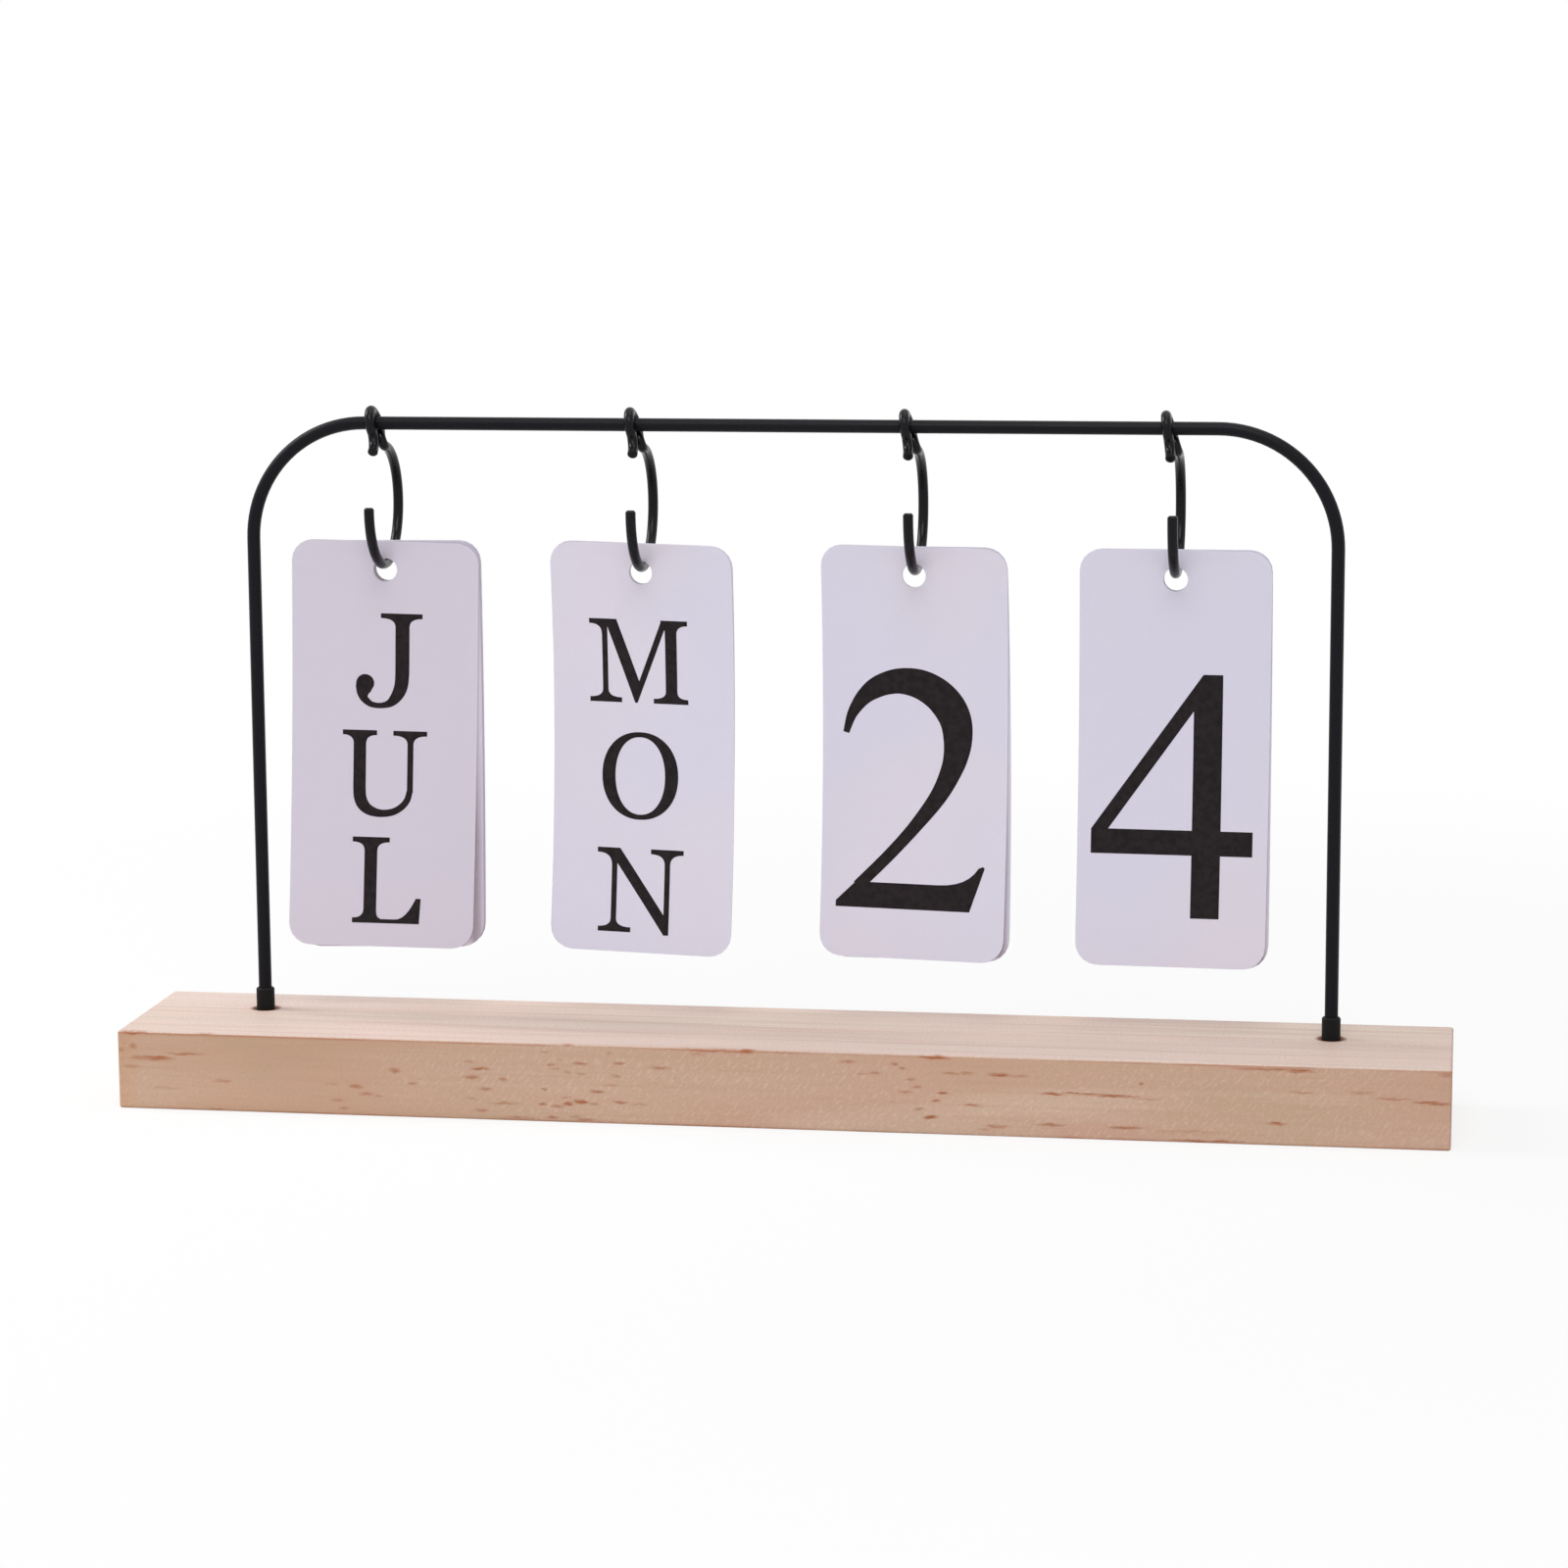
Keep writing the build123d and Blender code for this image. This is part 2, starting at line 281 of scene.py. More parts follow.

# %% [markdown]
# ## Pine
# The bar is planed pine, sanded and left bare. Its growth rings are long thin shells round the
# tree's middle, which lies behind the bar and runs along it. A colour that depends on the distance
# from that line gives soft streaks on the top, calm fields on the front and arcs on the ends, all
# from one rule, so the pattern also fits round the edges. Fine fibres, the sandpaper's speckle and
# short reddish resin flecks lie over it. The sawn ends show darker late wood and open pores. The
# top is rosier and paler than the front, partly its own colour and partly painted light, and the
# wood is scorched where the holes for the rod's feet were drilled.

# %% Where the flecks are
# Each fleck on the front is its middle along the bar and its height, then its length and thickness,
# all in millimetres, and how dark it is. The ones near 17.5 lie along the top edge
front_flecks = (
    (-141.8, 11.9, 9, 0.7, 0.95), (-134, 13.1, 8.5, 0.4, 0.6), (-125.5, 7.1, 4.2, 0.55, 0.45),
    (-139.5, 5, 9, 0.5, 0.28), (-149.3, 13.6, 2, 0.5, 0.6), (-146.3, 14.6, 1.8, 0.8, 0.5),
    (-146.8, 9.8, 4, 0.5, 0.3), (-127, 0.3, 5, 0.6, 0.35), (-94.2, 6.8, 3, 0.5, 0.8),
    (-91.8, 5.1, 3.4, 0.45, 0.6), (-89, 4.7, 2.5, 0.35, 0.35), (-85.4, 10.7, 2.6, 0.7, 0.6),
    (-81.1, 7.9, 2.4, 0.5, 0.5), (-98.8, 3.4, 3, 0.5, 0.45), (-97.2, 1.6, 2.8, 0.5, 0.35),
    (-99.8, 7.1, 3, 0.4, 0.25), (-146, 17.7, 8, 0.5, 0.85), (-129.2, 17.8, 4, 0.4, 0.6),
    (-68, 13.3, 3.2, 0.4, 0.35), (-65.6, 11.8, 4.6, 0.45, 0.75), (-67.6, 9.8, 3.8, 0.55, 0.75),
    (-60.3, 9.6, 1.9, 0.55, 0.5), (-64.4, 7.2, 3.2, 0.5, 0.5), (-67.5, 4.9, 3, 0.35, 0.25),
    (-50.9, 16, 2.2, 0.4, 0.4), (-47, 14.4, 2, 0.4, 0.28), (-49.4, 13.2, 2.6, 0.45, 0.45),
    (-48.2, 12.2, 2.6, 0.4, 0.35), (-45.6, 11.7, 2.4, 0.4, 0.35), (-42.4, 11.3, 2.2, 0.4, 0.35),
    (-42.6, 13.6, 4, 0.5, 0.55), (-36, 16.1, 1.6, 0.5, 0.35), (-33.6, 13.9, 2.6, 0.5, 0.7),
    (-24.6, 13.2, 4.6, 0.5, 0.5), (-34.6, 11.1, 2.2, 0.4, 0.45), (-38.8, 7.3, 3.2, 0.45, 0.75),
    (-35.6, 8.8, 2.9, 0.4, 0.45), (-51.1, 7.6, 1.6, 0.45, 0.55), (-60, 4, 7.5, 0.35, 0.5),
    (-65.6, 2.2, 3.4, 0.5, 0.55), (-51.3, 4, 2, 0.5, 0.65), (-48, 3.7, 3.2, 0.55, 0.5),
    (-45.6, 4.3, 2.8, 0.55, 0.75), (-42.7, 4.9, 3.6, 0.65, 1), (-39.6, 4.5, 2.6, 0.45, 0.45),
    (-46, 5.8, 2.5, 0.4, 0.3), (-49.4, 1, 3.2, 0.5, 0.7), (-43.8, 1.4, 2.4, 0.4, 0.4),
    (-41.7, 0.8, 4.6, 0.45, 0.65), (-57.2, 0.6, 9, 0.6, 0.45), (-33.6, 5.1, 3.4, 0.45, 0.65),
    (-29.4, 4.6, 4.6, 0.35, 0.35), (-45.6, 17.8, 3.5, 0.45, 0.6), (-12, 17.6, 17, 0.55, 0.7),
    (-5, 17.6, 4.2, 0.55, 0.9), (-15.6, 16.7, 3.4, 0.5, 0.35), (17.8, 15.9, 3.6, 0.55, 0.6),
    (21, 13.3, 2.6, 0.4, 0.4), (23.7, 13.5, 2.8, 0.45, 0.45), (28.3, 15.7, 1.5, 0.45, 0.7),
    (30.1, 14.9, 1.5, 0.45, 0.7), (32, 12.4, 2.7, 0.4, 0.5), (33.4, 10.7, 2.2, 0.4, 0.55),
    (30.8, 9.5, 3.2, 0.4, 0.45), (28, 7.1, 2, 0.35, 0.25), (39.2, 9.5, 2.8, 0.45, 0.85),
    (37.3, 7.7, 1.9, 0.45, 0.8), (33.8, 5.7, 2.6, 0.4, 0.5), (36.1, 4, 3.2, 0.55, 0.9),
    (41, 14, 4, 0.4, 0.55), (44.3, 14.1, 3.6, 0.4, 0.6), (51.4, 14, 4.6, 0.5, 0.9),
    (55.6, 13.8, 4.6, 0.4, 0.4), (45.7, 6.9, 4.6, 0.45, 0.6), (51, 2.3, 5.2, 0.6, 0.65),
    (48.7, 1.6, 4, 0.5, 0.35), (37, 17.5, 7.2, 0.55, 0.95), (63.3, 10.1, 5.6, 0.4, 0.85),
    (69.6, 10.3, 11, 0.32, 0.7), (77.6, 10, 9, 0.42, 0.9), (83.6, 9.5, 6.4, 0.35, 0.4),
    (62.8, 3.1, 6.4, 0.45, 0.6), (67, 0.3, 8, 0.5, 0.4), (79.6, 3, 8.6, 0.45, 0.6),
    (93, 2.6, 16, 0.4, 0.22), (82.8, 13, 0.9, 0.5, 0.6), (97, 0.5, 19, 0.45, 0.75),
    (111, 17.1, 17, 0.45, 0.6), (117.2, 16.9, 6.6, 0.55, 0.95), (117.5, 12.1, 6, 0.4, 0.35),
    (130.6, 12.6, 6.4, 0.45, 0.35), (137, 11.3, 9, 0.4, 0.45), (145.8, 10.6, 8, 0.45, 0.95),
    (112.2, 4.9, 4.2, 0.5, 0.75), (148.8, 17.2, 3.4, 0.8, 0.65))
print("flecks on the front:", len(front_flecks))

# %% [markdown]
# Resin lies in short dashes along the grain. A dash is drawn by the distance from its middle, in a
# place that is squeezed along the bar first, so that a round spot comes out long. On the front each
# dash has its own place. Elsewhere a grid of random points, squeezed in the same way, puts a dash in
# some of its cells. Noise frays the dashes and breaks them up.

# %% Resin in the pine
fleck_depth = 3.2 * MM
# A fleck fades from its middle outwards, so it is drawn thicker and longer than it comes out
fleck_swell, fleck_stretch = 2.1, 1.25
short_dash = (8 * MM, 1.6 * MM, 1.3 * MM)
long_dash = (26 * MM, 3.4 * MM, 1.9 * MM)
base_low, base_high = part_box("base")


def ragged_place(tree):
    """The point's place, pushed about a little by noise, so that what is drawn there has frayed edges."""
    warp = add(tree, "ShaderNodeTexNoise", {"Vector": own_place(tree), "Scale": 420.0, "Detail": 2.0})
    push = vectors("ADD", warp.outputs["Color"], (-0.5, -0.5, -0.5))
    return vectors("ADD", own_place(tree), vectors("MULTIPLY", push, (1.6 * MM, 0, 0.9 * MM)))


def placed_flecks(ragged):
    """The darkest of the front's flecks: each falls off from its middle like a flattened long egg."""
    darkest = 0.0
    for x, z, length, thickness, darkness in front_flecks:
        reach = [2 / (fleck_stretch * length * MM), 2 / fleck_depth, 2 / (fleck_swell * thickness * MM)]
        middle = (x * MM, base_low.y, z * MM)
        shift = [-reach[k] * middle[k] for k in range(3)]
        away = vectors("LENGTH", vectors("MULTIPLY_ADD", ragged, reach, shift))
        darkest = maths("MAXIMUM", between(away, 0.10, 1.20, darkness, 0.0), darkest)
    return darkest


def scattered_flecks(ragged, cell, share_of_cells, shift):
    """Dashes anywhere else: one in some cells of a grid of random points, each cell of a given size."""
    grid = vectors("MULTIPLY_ADD", ragged, [1 / size for size in cell], shift)
    spots = add(ragged.id_data, "ShaderNodeTexVoronoi", {"Vector": grid, "Scale": 1.0})
    chosen = add(ragged.id_data, "ShaderNodeSeparateColor", {0: spots.outputs["Color"]}).outputs[0]
    size = between(chosen, 1 - share_of_cells, 1.0, 0.0, 0.25)
    return between(maths("SUBTRACT", spots.outputs["Distance"], size), -0.12, 0.02, 1.0, 0.0)


def resin(tree, y, z, top_face, end_grain):
    """How much resin shows: flecks, broken up by streaky noise, and worn dark lines along the edges.

    The scattered flecks keep off the front and are faint on the top. All is faint on the ends.
    """
    ragged = ragged_place(tree)
    behind = between(y, base_low.y + 2 * MM, base_low.y + 4 * MM)
    gather = between(cloud(own_place(tree, (14, 50, 50), (0.3, 0.1, 0.2)), 1.0, 1.0), 0.45, 0.60)
    short = times(scattered_flecks(ragged, short_dash, 0.5, (0.3, 0.7, 0.1)), gather)
    long = times(scattered_flecks(ragged, long_dash, 0.22, (0.9, 0.4, 0.6)), 0.62)
    scattered = times(times(maths("MAXIMUM", short, long), behind), rest_of(times(top_face, 0.85)))
    streaky = cloud(own_place(tree, (260, 900, 2600)), 1.0, 2.0, 0.6)
    flecks = maths("MAXIMUM", placed_flecks(ragged), scattered)
    flecks = times(flecks, between(streaky, 0.34, 0.58, 0.60, 1.30))
    top_edge = times(between(z, base_high.z - 0.9 * MM, base_high.z - 0.3 * MM), rest_of(top_face))
    low_edge = between(z, base_low.z + 0.1 * MM, base_low.z + 0.8 * MM, 0.9, 0.0)
    worn = cloud(own_place(tree, (55, 300, 300), (6.1, 0.2, 0.9)))
    edges = times(maths("MAXIMUM", top_edge, low_edge), between(worn, 0.36, 0.66, 0.12, 0.62))
    return times(maths("MAXIMUM", flecks, edges), rest_of(times(end_grain, 0.7)))


print("cells of", short_dash[0] / MM, "and", long_dash[0] / MM, "millimetres along the bar hold the dashes")

# %% [markdown]
# The colours come in parts too: the rings from the distance to the tree's middle, the brown sawn
# ends, and the rosy white top, made lighter with painted light. Each is a small function, so that the
# finish can be read from its lowest layer up.

# %% Rings, raw ends and the pale top with painted light
heart_behind, heart_height = 96 * MM, 8 * MM
ring_width = 6.4 * MM


def growth_rings(tree):
    """How far into the dark late wood a point is, from its distance to the tree's middle line."""
    bend = cloud(own_place(tree, (3.5, 22, 22)))
    drift = cloud(own_place(tree, (9, 110, 110), (3.1, 0, 0)))
    distance = vectors("LENGTH", own_place(tree, (0, 1, 1), (0, -heart_behind, -heart_height)))
    bent = maths("ADD", maths("ADD", distance, times(bend, 22 * MM)), times(drift, 3 * MM))
    ring = maths("FRACT", maths("DIVIDE", bent, ring_width))
    return times(between(ring, 0.25, 0.88), between(ring, 0.88, 1.0, 1.0, 0.0))


def raw_end(tree, rings):
    """The sawn ends' colour: late wood goes brown, and so do open pores."""
    pores = cloud(own_place(tree, (0, 1, 1)), 2600.0, 2.0, 0.7)
    brown = maths("ADD", rings, between(pores, 0.42, 0.62, 0.0, 0.45))
    return blend_colours(brown, seen(214, 172, 138), seen(158, 106, 74))


def pale_top_with_painted_light(tree, x, y):
    """The top's colour: rosy white with long streaks, and a painted pool of light that whitens its far left
    corner.
    """
    rosy = cloud(own_place(tree, (10, 120, 40), (1.7, 0.4, 0)))
    colour = blend_colours(between(rosy, 0.36, 0.64), seen(233, 219, 209), seen(236, 215, 206))
    streak = cloud(own_place(tree, (8, 210, 60), (0.2, 3.4, 0), (0, 0, math.radians(1.2))))
    colour = patches(colour, streak, 0.46, 0.72, 0.50, seen(207, 187, 176))
    fine = cloud(own_place(tree, (9, 620, 60), (0.6, 1.4, 0)))
    colour = patches(colour, fine, 0.50, 0.72, 0.50, seen(205, 178, 166))
    colour = blend_colours(between(fine, 0.28, 0.46, 0.50, 0.0), colour, seen(246, 228, 218))
    # Painted light: the far left of the top is whitened where the window's light falls most
    painted_pool_of_light = times(between(x, -135 * MM, -65 * MM, 0.65, 0.0), between(y, 0.0, 14 * MM, 0.2, 1.0))
    return blend_colours(painted_pool_of_light, colour, seen(246, 231, 226))


print("rings of", round(ring_width / MM, 1), "millimetres, round a line", heart_behind / MM, "behind")

# %% Make the pine finish
sleeve_low, sleeve_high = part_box("foot_sleeve_right")
foot_x = (sleeve_low.x + sleeve_high.x) / 2
foot_y = (sleeve_low.y + sleeve_high.y) / 2
foot_radius = (sleeve_high.x - sleeve_low.x) / 2


def feet_distance(tree):
    """The distance from the nearer foot's axis."""
    nearest = 1.0
    for side in (-1, 1):
        away = vectors("LENGTH", own_place(tree, (1, 1, 0), (-side * foot_x, -foot_y, 0)))
        nearest = maths("MINIMUM", away, nearest)
    return nearest


def pine():
    """Bare sanded pine: rings, fibres, raw ends, a faded top, sanding, resin and scorched holes."""
    material, tree, shader = start_finish("pine_finish")
    x, y, z = add(tree, "ShaderNodeSeparateXYZ", {0: own_place(tree)}).outputs
    fibre = cloud(own_place(tree, (16, 950, 950)), 1.0, 3.0, 0.6)
    fields = cloud(own_place(tree, (9, 55, 40), (0.7, 0.2, 0.4)))
    rings = growth_rings(tree)
    colour = blend_colours(between(fields, 0.35, 0.68), seen(219, 184, 157), seen(222, 194, 173))
    colour = blend_colours(times(rings, 0.38), colour, seen(202, 156, 130))
    colour = patches(colour, fibre, 0.38, 0.75, 0.26, seen(200, 154, 124))
    end_grain = between(maths("ABSOLUTE", x), base_high.x - 0.3 * MM, base_high.x - 0.05 * MM)
    colour = blend_colours(times(end_grain, 0.75), colour, raw_end(tree, rings))

    # The colour drifts along the bar: olive and rosy patches, amber at the left end, and a painted shade
    # that darkens towards the left and upwards
    olive = cloud(own_place(tree, (22, 90, 70), (4.2, 0.3, 0.8)))
    colour = patches(colour, olive, 0.50, 0.70, 0.30, seen(198, 178, 150))
    blush = cloud(own_place(tree, (30, 120, 90), (1.2, 5.3, 2.8)))
    colour = patches(colour, blush, 0.50, 0.72, 0.30, seen(218, 172, 156))
    amber = between(x, base_low.x + 0.5 * MM, base_low.x + 7 * MM, 0.38, 0.0)
    colour = blend_colours(amber, colour, seen(208, 154, 106))
    painted_front_shade = times(between(x, -60 * MM, 40 * MM, 0.28, 0.09), between(z, 0.0, 14 * MM, 0.25, 1.0))
    colour = blend_colours(painted_front_shade, colour, seen(174, 128, 97))

    # The top face is known by its height, and fades over the rounding of the edge; its paler colour is
    # partly painted light
    top_face = between(z, base_high.z - 0.4 * MM, base_high.z - 0.1 * MM)
    colour = blend_colours(times(top_face, 0.82), colour, pale_top_with_painted_light(tree, x, y))

    # Sandpaper leaves dark speckle, and pale slanting scratches on the calm fields
    speckle = cloud(own_place(tree), 1500.0, 2.0, 0.75)
    colour = patches(colour, speckle, 0.32, 0.72, 0.30, seen(190, 146, 120))
    scratch = cloud(own_place(tree, (1500, 1500, 480), turn=(0, math.radians(-42), 0)), 1.0, 1.0)
    scratched = times(between(scratch, 0.50, 0.72), between(fields, 0.42, 0.60, 0.0, 0.24))
    colour = blend_colours(scratched, colour, seen(240, 216, 194))

    colour = blend_colours(resin(tree, y, z, top_face, end_grain), colour, seen(172, 101, 62))
    ragged_hole = maths("SUBTRACT", feet_distance(tree), times(fibre, 0.7 * MM))
    scorch = between(ragged_hole, foot_radius + 0.4 * MM, foot_radius + 1.5 * MM, 0.9, 0.0)
    colour = blend_colours(scorch, colour, seen(134, 76, 44))

    grain = maths("ADD", times(fibre, 0.5), times(speckle, 0.5))
    coat(shader, colour, between(fibre, 0.2, 0.8, 0.55, 0.68), 0.35, grain, 0.06 * MM)
    return material


pine_finish = pine()
print("pine nodes:", len(pine_finish.node_tree.nodes), "and scorched feet at", round(foot_x / MM, 1))

# %% [markdown]
# ## Three blacks
# The rod is sprayed satin black, so its coat has a very fine orange-peel. The rings are dipped in
# harder, glossier enamel that shows small highlights on each bend. The sleeves at the feet are
# matt. All three are dark, so their shine says more than their colour, and each has its own.

# %% Make the three blacks
def black(name, colour, roughness, shine, peel_scale, peel_depth):
    """A black coat: a little cloudy in colour and shine, with fine peel as bumps."""
    material, tree, shader = start_finish(name)
    haze = cloud(own_place(tree), 90.0, 3.0)
    darker = tuple(share * 0.72 for share in colour[:3]) + (1.0,)
    rough = between(haze, 0.25, 0.75, roughness - 0.05, roughness + 0.05)
    peel = cloud(own_place(tree), peel_scale)
    coat(shader, blend_colours(haze, darker, colour), rough, shine, peel, peel_depth)
    return material


rod_finish = black("satin_black_paint", seen(21, 20, 26), 0.42, 0.12, 1400.0, 0.025 * MM)
ring_finish = black("gloss_black_enamel", seen(17, 16, 21), 0.22, 0.16, 1900.0, 0.014 * MM)
sleeve_finish = black("matt_black_sleeve", seen(24, 23, 24), 0.58, 0.14, 2600.0, 0.04 * MM)


def dress(node, material):
    """Give a construction node its finish, in every slot it has."""
    for slot in frame["nodes"][node].material_slots:
        slot.material = material


dress("base", pine_finish)
for side in ("left", "right"):
    dress(f"foot_sleeve_{side}", sleeve_finish)
stack_names = ("month", "weekday", "tens", "units")
for stack in stack_names:
    dress(f"{stack}_hook", ring_finish)
print("dressed the base, two sleeves and", len(stack_names), "rings")

# %% [markdown]
# ## The rod
# The rod is one round bar, bent twice. A tube is a circle carried along a path: at each point of
# the path, the circle is drawn square to the way ahead. The path here is two straight legs, two
# quarter circles and the bar between them, all in one upright plane, so the circle's two axes are
# easy: one points along Y all the way, and the other is the path's own outward side. Each end is
# closed by a rounded rim and a flat disc.

# %% Helpers that turn arrays into meshes
tolerance = 0.01 * MM


def vertices_of(node):
    """A construction node's corners as rows of x, y, z in metres."""
    mesh = frame["nodes"][node].data
    flat = np.empty(3 * len(mesh.vertices))
    mesh.vertices.foreach_get("co", flat)
    return flat.reshape(-1, 3)


def enclosed_volume(points, faces):
    """The sum over faces of a third of base area times height, which is negative inside out."""
    first = points[faces[:, 0]]
    total = 0.0
    for k in range(1, faces.shape[1] - 1):
        cross = np.cross(points[faces[:, k]] - first, points[faces[:, k + 1]] - first)
        total += np.einsum("ij,ij->", first, cross) / 6
    return total


def make_piece(name, points, face_sets, material, body, sharp_angle=40):
    """A closed mesh of one or more sets of faces, turned right side out, that rides on a body."""
    centred = points - points.mean(axis=0)
    volume = sum(enclosed_volume(centred, faces) for faces in face_sets)
    order = -1 if volume < 0 else 1
    loops = [loop for faces in face_sets for loop in faces[:, ::order].tolist()]
    mesh = bpy.data.meshes.new(name)
    mesh.from_pydata(points.tolist(), [], loops)
    mesh.shade_smooth()
    mesh.set_sharp_from_angle(angle=math.radians(sharp_angle))
    mesh.materials.append(material)
    piece = bpy.data.objects.new(name, mesh)
    bpy.context.scene.collection.objects.link(piece)
    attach(piece, body)
    return piece, abs(volume)


def closed_grid(rows, columns):
    """Faces of a grid whose last row joins its first and whose last column joins its first."""
    row, column = np.meshgrid(np.arange(rows), np.arange(columns), indexing="ij")
    next_row, next_column = (row + 1) % rows, (column + 1) % columns
    corners = [row * columns + column, next_row * columns + column,
               next_row * columns + next_column, row * columns + next_column]
    return np.stack([corner.ravel() for corner in corners], axis=1)


print("a closed grid of 3 rows and 4 columns has", len(closed_grid(3, 4)), "faces")

# %% Bend the rod's path
rod = vertices_of("wire_arch")
rod_low, rod_high = rod.min(axis=0), rod.max(axis=0)
rod_radius = (rod_high[1] - rod_low[1]) / 2
leg_x = rod_high[0] - rod_radius
bar_z = rod_high[2] - rod_radius
flat_top = rod[rod[:, 2] > rod_high[2] - tolerance]
bend_radius = leg_x - flat_top[:, 0].max()
end_round = 0.3 * MM


def arch_path(count_on_leg=24, count_on_bend=26, count_on_bar=40):
    """Up the left leg, round a quarter circle, along the bar and down again, with its outward side."""
    turn = np.linspace(0, np.pi / 2, count_on_bend)
    bend_x = -leg_x + bend_radius * (1 - np.cos(turn))
    bend = np.stack([bend_x, bar_z + bend_radius * (np.sin(turn) - 1)], 1)
    foot_levels = np.linspace(rod_low[2] + end_round, bar_z - bend_radius, count_on_leg)[:-1]
    leg = np.stack([np.full(len(foot_levels), -leg_x), foot_levels], 1)
    bar = np.linspace(-leg_x + bend_radius, leg_x - bend_radius, count_on_bar)[1:-1]
    middle = np.stack([bar, np.full(len(bar), bar_z)], 1)
    half = np.concatenate([leg, bend])
    leg_outward = np.tile([-1.0, 0.0], (len(leg), 1))
    half_outward = np.concatenate([leg_outward, np.stack([-np.cos(turn), np.sin(turn)], 1)])
    bar_outward = np.tile([0.0, 1.0], (len(bar), 1))
    mirror = np.array([-1.0, 1.0])
    path = np.concatenate([half, middle, half[::-1] * mirror])
    return path, np.concatenate([half_outward, bar_outward, half_outward[::-1] * mirror])


path, outward = arch_path()
print("rod radius", round(rod_radius / MM, 3), "bend radius", round(bend_radius / MM, 2), "millimetres")

# %% Carry a circle along the path
sides_of_rod = 28
angle = np.linspace(0, 2 * np.pi, sides_of_rod, endpoint=False)
circle_out, circle_back = rod_radius * np.cos(angle), rod_radius * np.sin(angle)
tube_x = path[:, :1] + outward[:, :1] * circle_out
tube_z = path[:, 1:] + outward[:, 1:] * circle_out
tube_y = foot_y + np.broadcast_to(circle_back, tube_x.shape)
tube = np.stack([tube_x, tube_y, tube_z], axis=2)

tube_ends = tube[[0, -1]]
end_middles = tube_ends.mean(axis=1, keepdims=True)
rims = end_middles + (tube_ends - end_middles) * (1 - end_round / rod_radius)
rims[..., 2] = rod_low[2]
circles = np.concatenate([rims[:1], tube, rims[1:]])
points = np.concatenate([circles.reshape(-1, 3), rims.mean(axis=1)])
wall = closed_grid(len(circles), sides_of_rod)[:-sides_of_rod]
first_rim = np.arange(sides_of_rod)
last_rim = first_rim[::-1] + (len(circles) - 1) * sides_of_rod
discs = [np.stack([np.full(sides_of_rod, len(points) - 2 + k), np.roll(edge, -1), edge], 1)
         for k, edge in enumerate((first_rim, last_rim))]
arch_rod, rod_volume = make_piece("arch_rod", points, [wall, *discs], rod_finish, "stand", 50)
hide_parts("wire_arch")
print("the rod holds", round(rod_volume / MM**3, 1), "cubic mm")

# %% [markdown]
# ## Card stock and ink
# The cards are smooth coated board. Under a cool light its white is a pale lavender, a little
# warmer in places, with a faint tooth. The months at the left end are painted a little darker, as
# shade, and are pinker; the cards behind a front one carry a painted shadow of it along one margin.
# The ink is a flat brownish black that lies a hair proud of the board and has taken a little unevenly.

# %% Make board and ink
def board():
    """Coated card: near whites that drift into each other, and painted shadow where a card's attribute says
    so.
    """
    material, tree, shader = start_finish("coated_board")
    drift = cloud(own_place(tree), 17.0)
    colour = blend_colours(between(drift, 0.35, 0.65), seen(231, 227, 244), seen(235, 228, 241))
    x = add(tree, "ShaderNodeSeparateXYZ", {0: own_place(tree)}).outputs[0]
    # Painted shade: the months at the left end are made darker, where less light reaches them, and also
    # pinker
    colour = blend_colours(between(x, -75 * MM, -55 * MM, 0.8, 0.0), colour, seen(223, 214, 228))
    # Painted shadow: the cards behind the front one are darkened near their right edge, as if shaded by it
    painted_card_shadow = add(tree, "ShaderNodeAttribute", attribute_name="painted_card_shadow").outputs["Fac"]
    colour = blend_colours(times(painted_card_shadow, 0.75), colour, seen(138, 118, 130))
    tooth = cloud(own_place(tree), 1800.0, 3.0, 0.6)
    colour = patches(colour, tooth, 0.3, 0.7, 0.10, seen(222, 214, 228))
    coat(shader, colour, between(tooth, 0.3, 0.7, 0.50, 0.58), 0.30, tooth, 0.012 * MM)
    return material


def ink():
    """Printing ink: brownish black, mottled where it has soaked in more or less."""
    material, tree, shader = start_finish("printing_ink")
    mottle = cloud(own_place(tree), 620.0, 3.0, 0.6)
    colour = blend_colours(between(mottle, 0.3, 0.7), seen(33, 28, 30), seen(45, 39, 40))
    coat(shader, colour, between(mottle, 0.3, 0.7, 0.50, 0.66), 0.09)
    return material


board_finish, ink_finish = board(), ink()
print("made", board_finish.name, "and", ink_finish.name)

# %% [markdown]
# ## The cards
# Each card hangs from its hole and is bent a little, its middle pushed back, as card is after
# months in a stack. All the cards of a stack share the bend, so they still nest. The construction
# model has them flat, so the card's plane is read from the flat one: the thin way through it is the
# direction it faces, and the smallest box round it gives its sides. The new card is a closed
# profile, from the hole out to the edge on the front and home again on the back, carried once round
# the hole.

# %% Read the flat cards
def smallest_box_turn(plane_points):
    """The turn, in radians, that makes the upright box round the points smallest.

    It is tried up to six degrees either way, in steps of a two-hundredth of a degree.
    """
    turns = np.radians(np.linspace(-6, 6, 2401))
    across = np.outer(np.cos(turns), plane_points[:, 0]) + np.outer(np.sin(turns), plane_points[:, 1])
    along = np.outer(np.cos(turns), plane_points[:, 1]) - np.outer(np.sin(turns), plane_points[:, 0])
    areas = np.ptp(across, axis=1) * np.ptp(along, axis=1)
    return turns[np.argmin(areas)]


